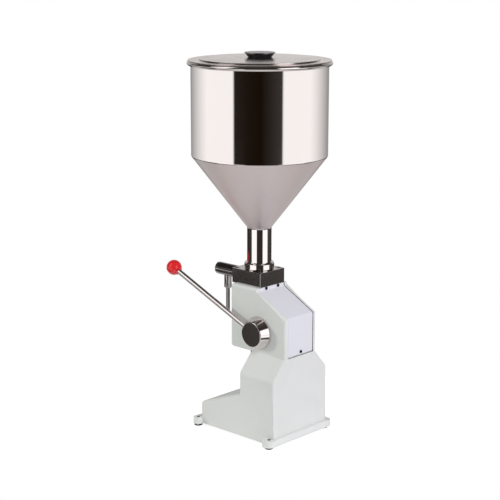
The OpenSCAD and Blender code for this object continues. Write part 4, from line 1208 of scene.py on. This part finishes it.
# ---------------------------------------------------------------- operators and panel

class FILLER_OT_materials(bpy.types.Operator):
    """Builds the shared effects and every material"""

    bl_idname = "filler.materials"
    bl_label = "Make Materials"
    bl_options = {"REGISTER", "UNDO"}

    def execute(self, context):
        Filler.materials = make_materials()
        return {"FINISHED"}


class FILLER_OT_stand(bpy.types.Operator):
    """Rounds the long edges of the stand casting"""

    bl_idname = "filler.stand"
    bl_label = "Build Stand"
    bl_options = {"REGISTER", "UNDO"}

    def execute(self, context):
        build_stand()
        return {"FINISHED"}


class FILLER_OT_feet(bpy.types.Operator):
    """Turns the four rubber feet"""

    bl_idname = "filler.feet"
    bl_label = "Build Feet"
    bl_options = {"REGISTER", "UNDO"}

    def execute(self, context):
        build_feet()
        return {"FINISHED"}


class FILLER_OT_cover(bpy.types.Operator):
    """Bends the rear cover"""

    bl_idname = "filler.cover"
    bl_label = "Build Cover"
    bl_options = {"REGISTER", "UNDO"}

    def execute(self, context):
        build_cover()
        return {"FINISHED"}


class FILLER_OT_cover_screws(bpy.types.Operator):
    """Turns the three screws of the rear cover"""

    bl_idname = "filler.cover_screws"
    bl_label = "Build Cover Screws"
    bl_options = {"REGISTER", "UNDO"}

    def execute(self, context):
        build_cover_screws()
        return {"FINISHED"}


class FILLER_OT_block(bpy.types.Operator):
    """Finishes the valve block and turns its four screws"""

    bl_idname = "filler.block"
    bl_label = "Build Valve Block"
    bl_options = {"REGISTER", "UNDO"}

    def execute(self, context):
        build_block()
        build_block_screws()
        return {"FINISHED"}


class FILLER_OT_hopper(bpy.types.Operator):
    """Spins the hopper"""

    bl_idname = "filler.hopper"
    bl_label = "Build Hopper"
    bl_options = {"REGISTER", "UNDO"}

    def execute(self, context):
        build_hopper()
        return {"FINISHED"}


class FILLER_OT_collar(bpy.types.Operator):
    """Turns the union collar"""

    bl_idname = "filler.collar"
    bl_label = "Build Collar"
    bl_options = {"REGISTER", "UNDO"}

    def execute(self, context):
        build_collar()
        return {"FINISHED"}


class FILLER_OT_lid(bpy.types.Operator):
    """Spins the lid and turns its knob and cap"""

    bl_idname = "filler.lid"
    bl_label = "Build Lid"
    bl_options = {"REGISTER", "UNDO"}

    def execute(self, context):
        build_lid()
        build_knob()
        return {"FINISHED"}


class FILLER_OT_discharge(bpy.types.Operator):
    """Makes the discharge pipe, its cap and the hexagon nut"""

    bl_idname = "filler.discharge"
    bl_label = "Build Discharge"
    bl_options = {"REGISTER", "UNDO"}

    def execute(self, context):
        build_pipe()
        build_pipe_cap()
        build_nut()
        return {"FINISHED"}


class FILLER_OT_lever(bpy.types.Operator):
    """Turns the hub, the lever rod and the ball grip"""

    bl_idname = "filler.lever"
    bl_label = "Build Lever"
    bl_options = {"REGISTER", "UNDO"}

    def execute(self, context):
        build_hub()
        build_rod_and_grip()
        return {"FINISHED"}


class FILLER_OT_springs(bpy.types.Operator):
    """Finishes the two valve springs"""

    bl_idname = "filler.springs"
    bl_label = "Build Springs"
    bl_options = {"REGISTER", "UNDO"}

    def execute(self, context):
        build_springs()
        return {"FINISHED"}


class FILLER_OT_stop(bpy.types.Operator):
    """Breaks the edges of the stroke stop wheel"""

    bl_idname = "filler.stop"
    bl_label = "Build Stroke Stop"
    bl_options = {"REGISTER", "UNDO"}

    def execute(self, context):
        build_stop()
        return {"FINISHED"}


class FILLER_OT_inner(bpy.types.Operator):
    """Gives the CAD pieces that are still seen their materials"""

    bl_idname = "filler.inner"
    bl_label = "Finish Inner Parts"
    bl_options = {"REGISTER", "UNDO"}

    def execute(self, context):
        finish_nodes()
        return {"FINISHED"}


class FILLER_OT_stage(bpy.types.Operator):
    """Makes the floor, the light and the camera"""

    bl_idname = "filler.stage"
    bl_label = "Build Stage"
    bl_options = {"REGISTER", "UNDO"}

    def execute(self, context):
        build_stage()
        return {"FINISHED"}


OPERATORS = (
    FILLER_OT_materials,
    FILLER_OT_stand,
    FILLER_OT_feet,
    FILLER_OT_cover,
    FILLER_OT_cover_screws,
    FILLER_OT_block,
    FILLER_OT_hopper,
    FILLER_OT_collar,
    FILLER_OT_lid,
    FILLER_OT_discharge,
    FILLER_OT_lever,
    FILLER_OT_springs,
    FILLER_OT_stop,
    FILLER_OT_inner,
    FILLER_OT_stage,
)


class FILLER_PT_panel(bpy.types.Panel):
    """Sizes, colours and build steps of the filler"""

    bl_idname = "FILLER_PT_panel"
    bl_label = "Piston Liquid Filler"
    bl_space_type = "VIEW_3D"
    bl_region_type = "UI"
    bl_category = "Filler"

    def draw(self, context):
        layout = self.layout
        for group in (context.scene.filler_sizes, context.scene.filler_colours):
            for key in group.bl_rna.properties.keys():
                if key not in ("rna_type", "name"):
                    layout.prop(group, key)
        for operator in OPERATORS:
            layout.operator(operator.bl_idname)


CLASSES = (FillerSizes, FillerColours, *OPERATORS, FILLER_PT_panel)


def register():
    """Adds the classes, and the sizes and colours to the scene."""
    for cls in CLASSES:
        bpy.utils.register_class(cls)
    bpy.types.Scene.filler_sizes = bpy.props.PointerProperty(type=FillerSizes)
    bpy.types.Scene.filler_colours = bpy.props.PointerProperty(type=FillerColours)


def unregister():
    """Takes away what register added."""
    del bpy.types.Scene.filler_colours
    del bpy.types.Scene.filler_sizes
    for cls in reversed(CLASSES):
        bpy.utils.unregister_class(cls)


def main():
    """Builds the whole object step by step."""
    register()
    bpy.ops.filler.materials()
    bpy.ops.filler.stand()
    bpy.ops.filler.feet()
    bpy.ops.filler.cover()
    bpy.ops.filler.cover_screws()
    bpy.ops.filler.block()
    bpy.ops.filler.hopper()
    bpy.ops.filler.collar()
    bpy.ops.filler.lid()
    bpy.ops.filler.discharge()
    bpy.ops.filler.lever()
    bpy.ops.filler.springs()
    bpy.ops.filler.stop()
    bpy.ops.filler.inner()
    bpy.ops.filler.stage()


if __name__ == "__main__":
    main()
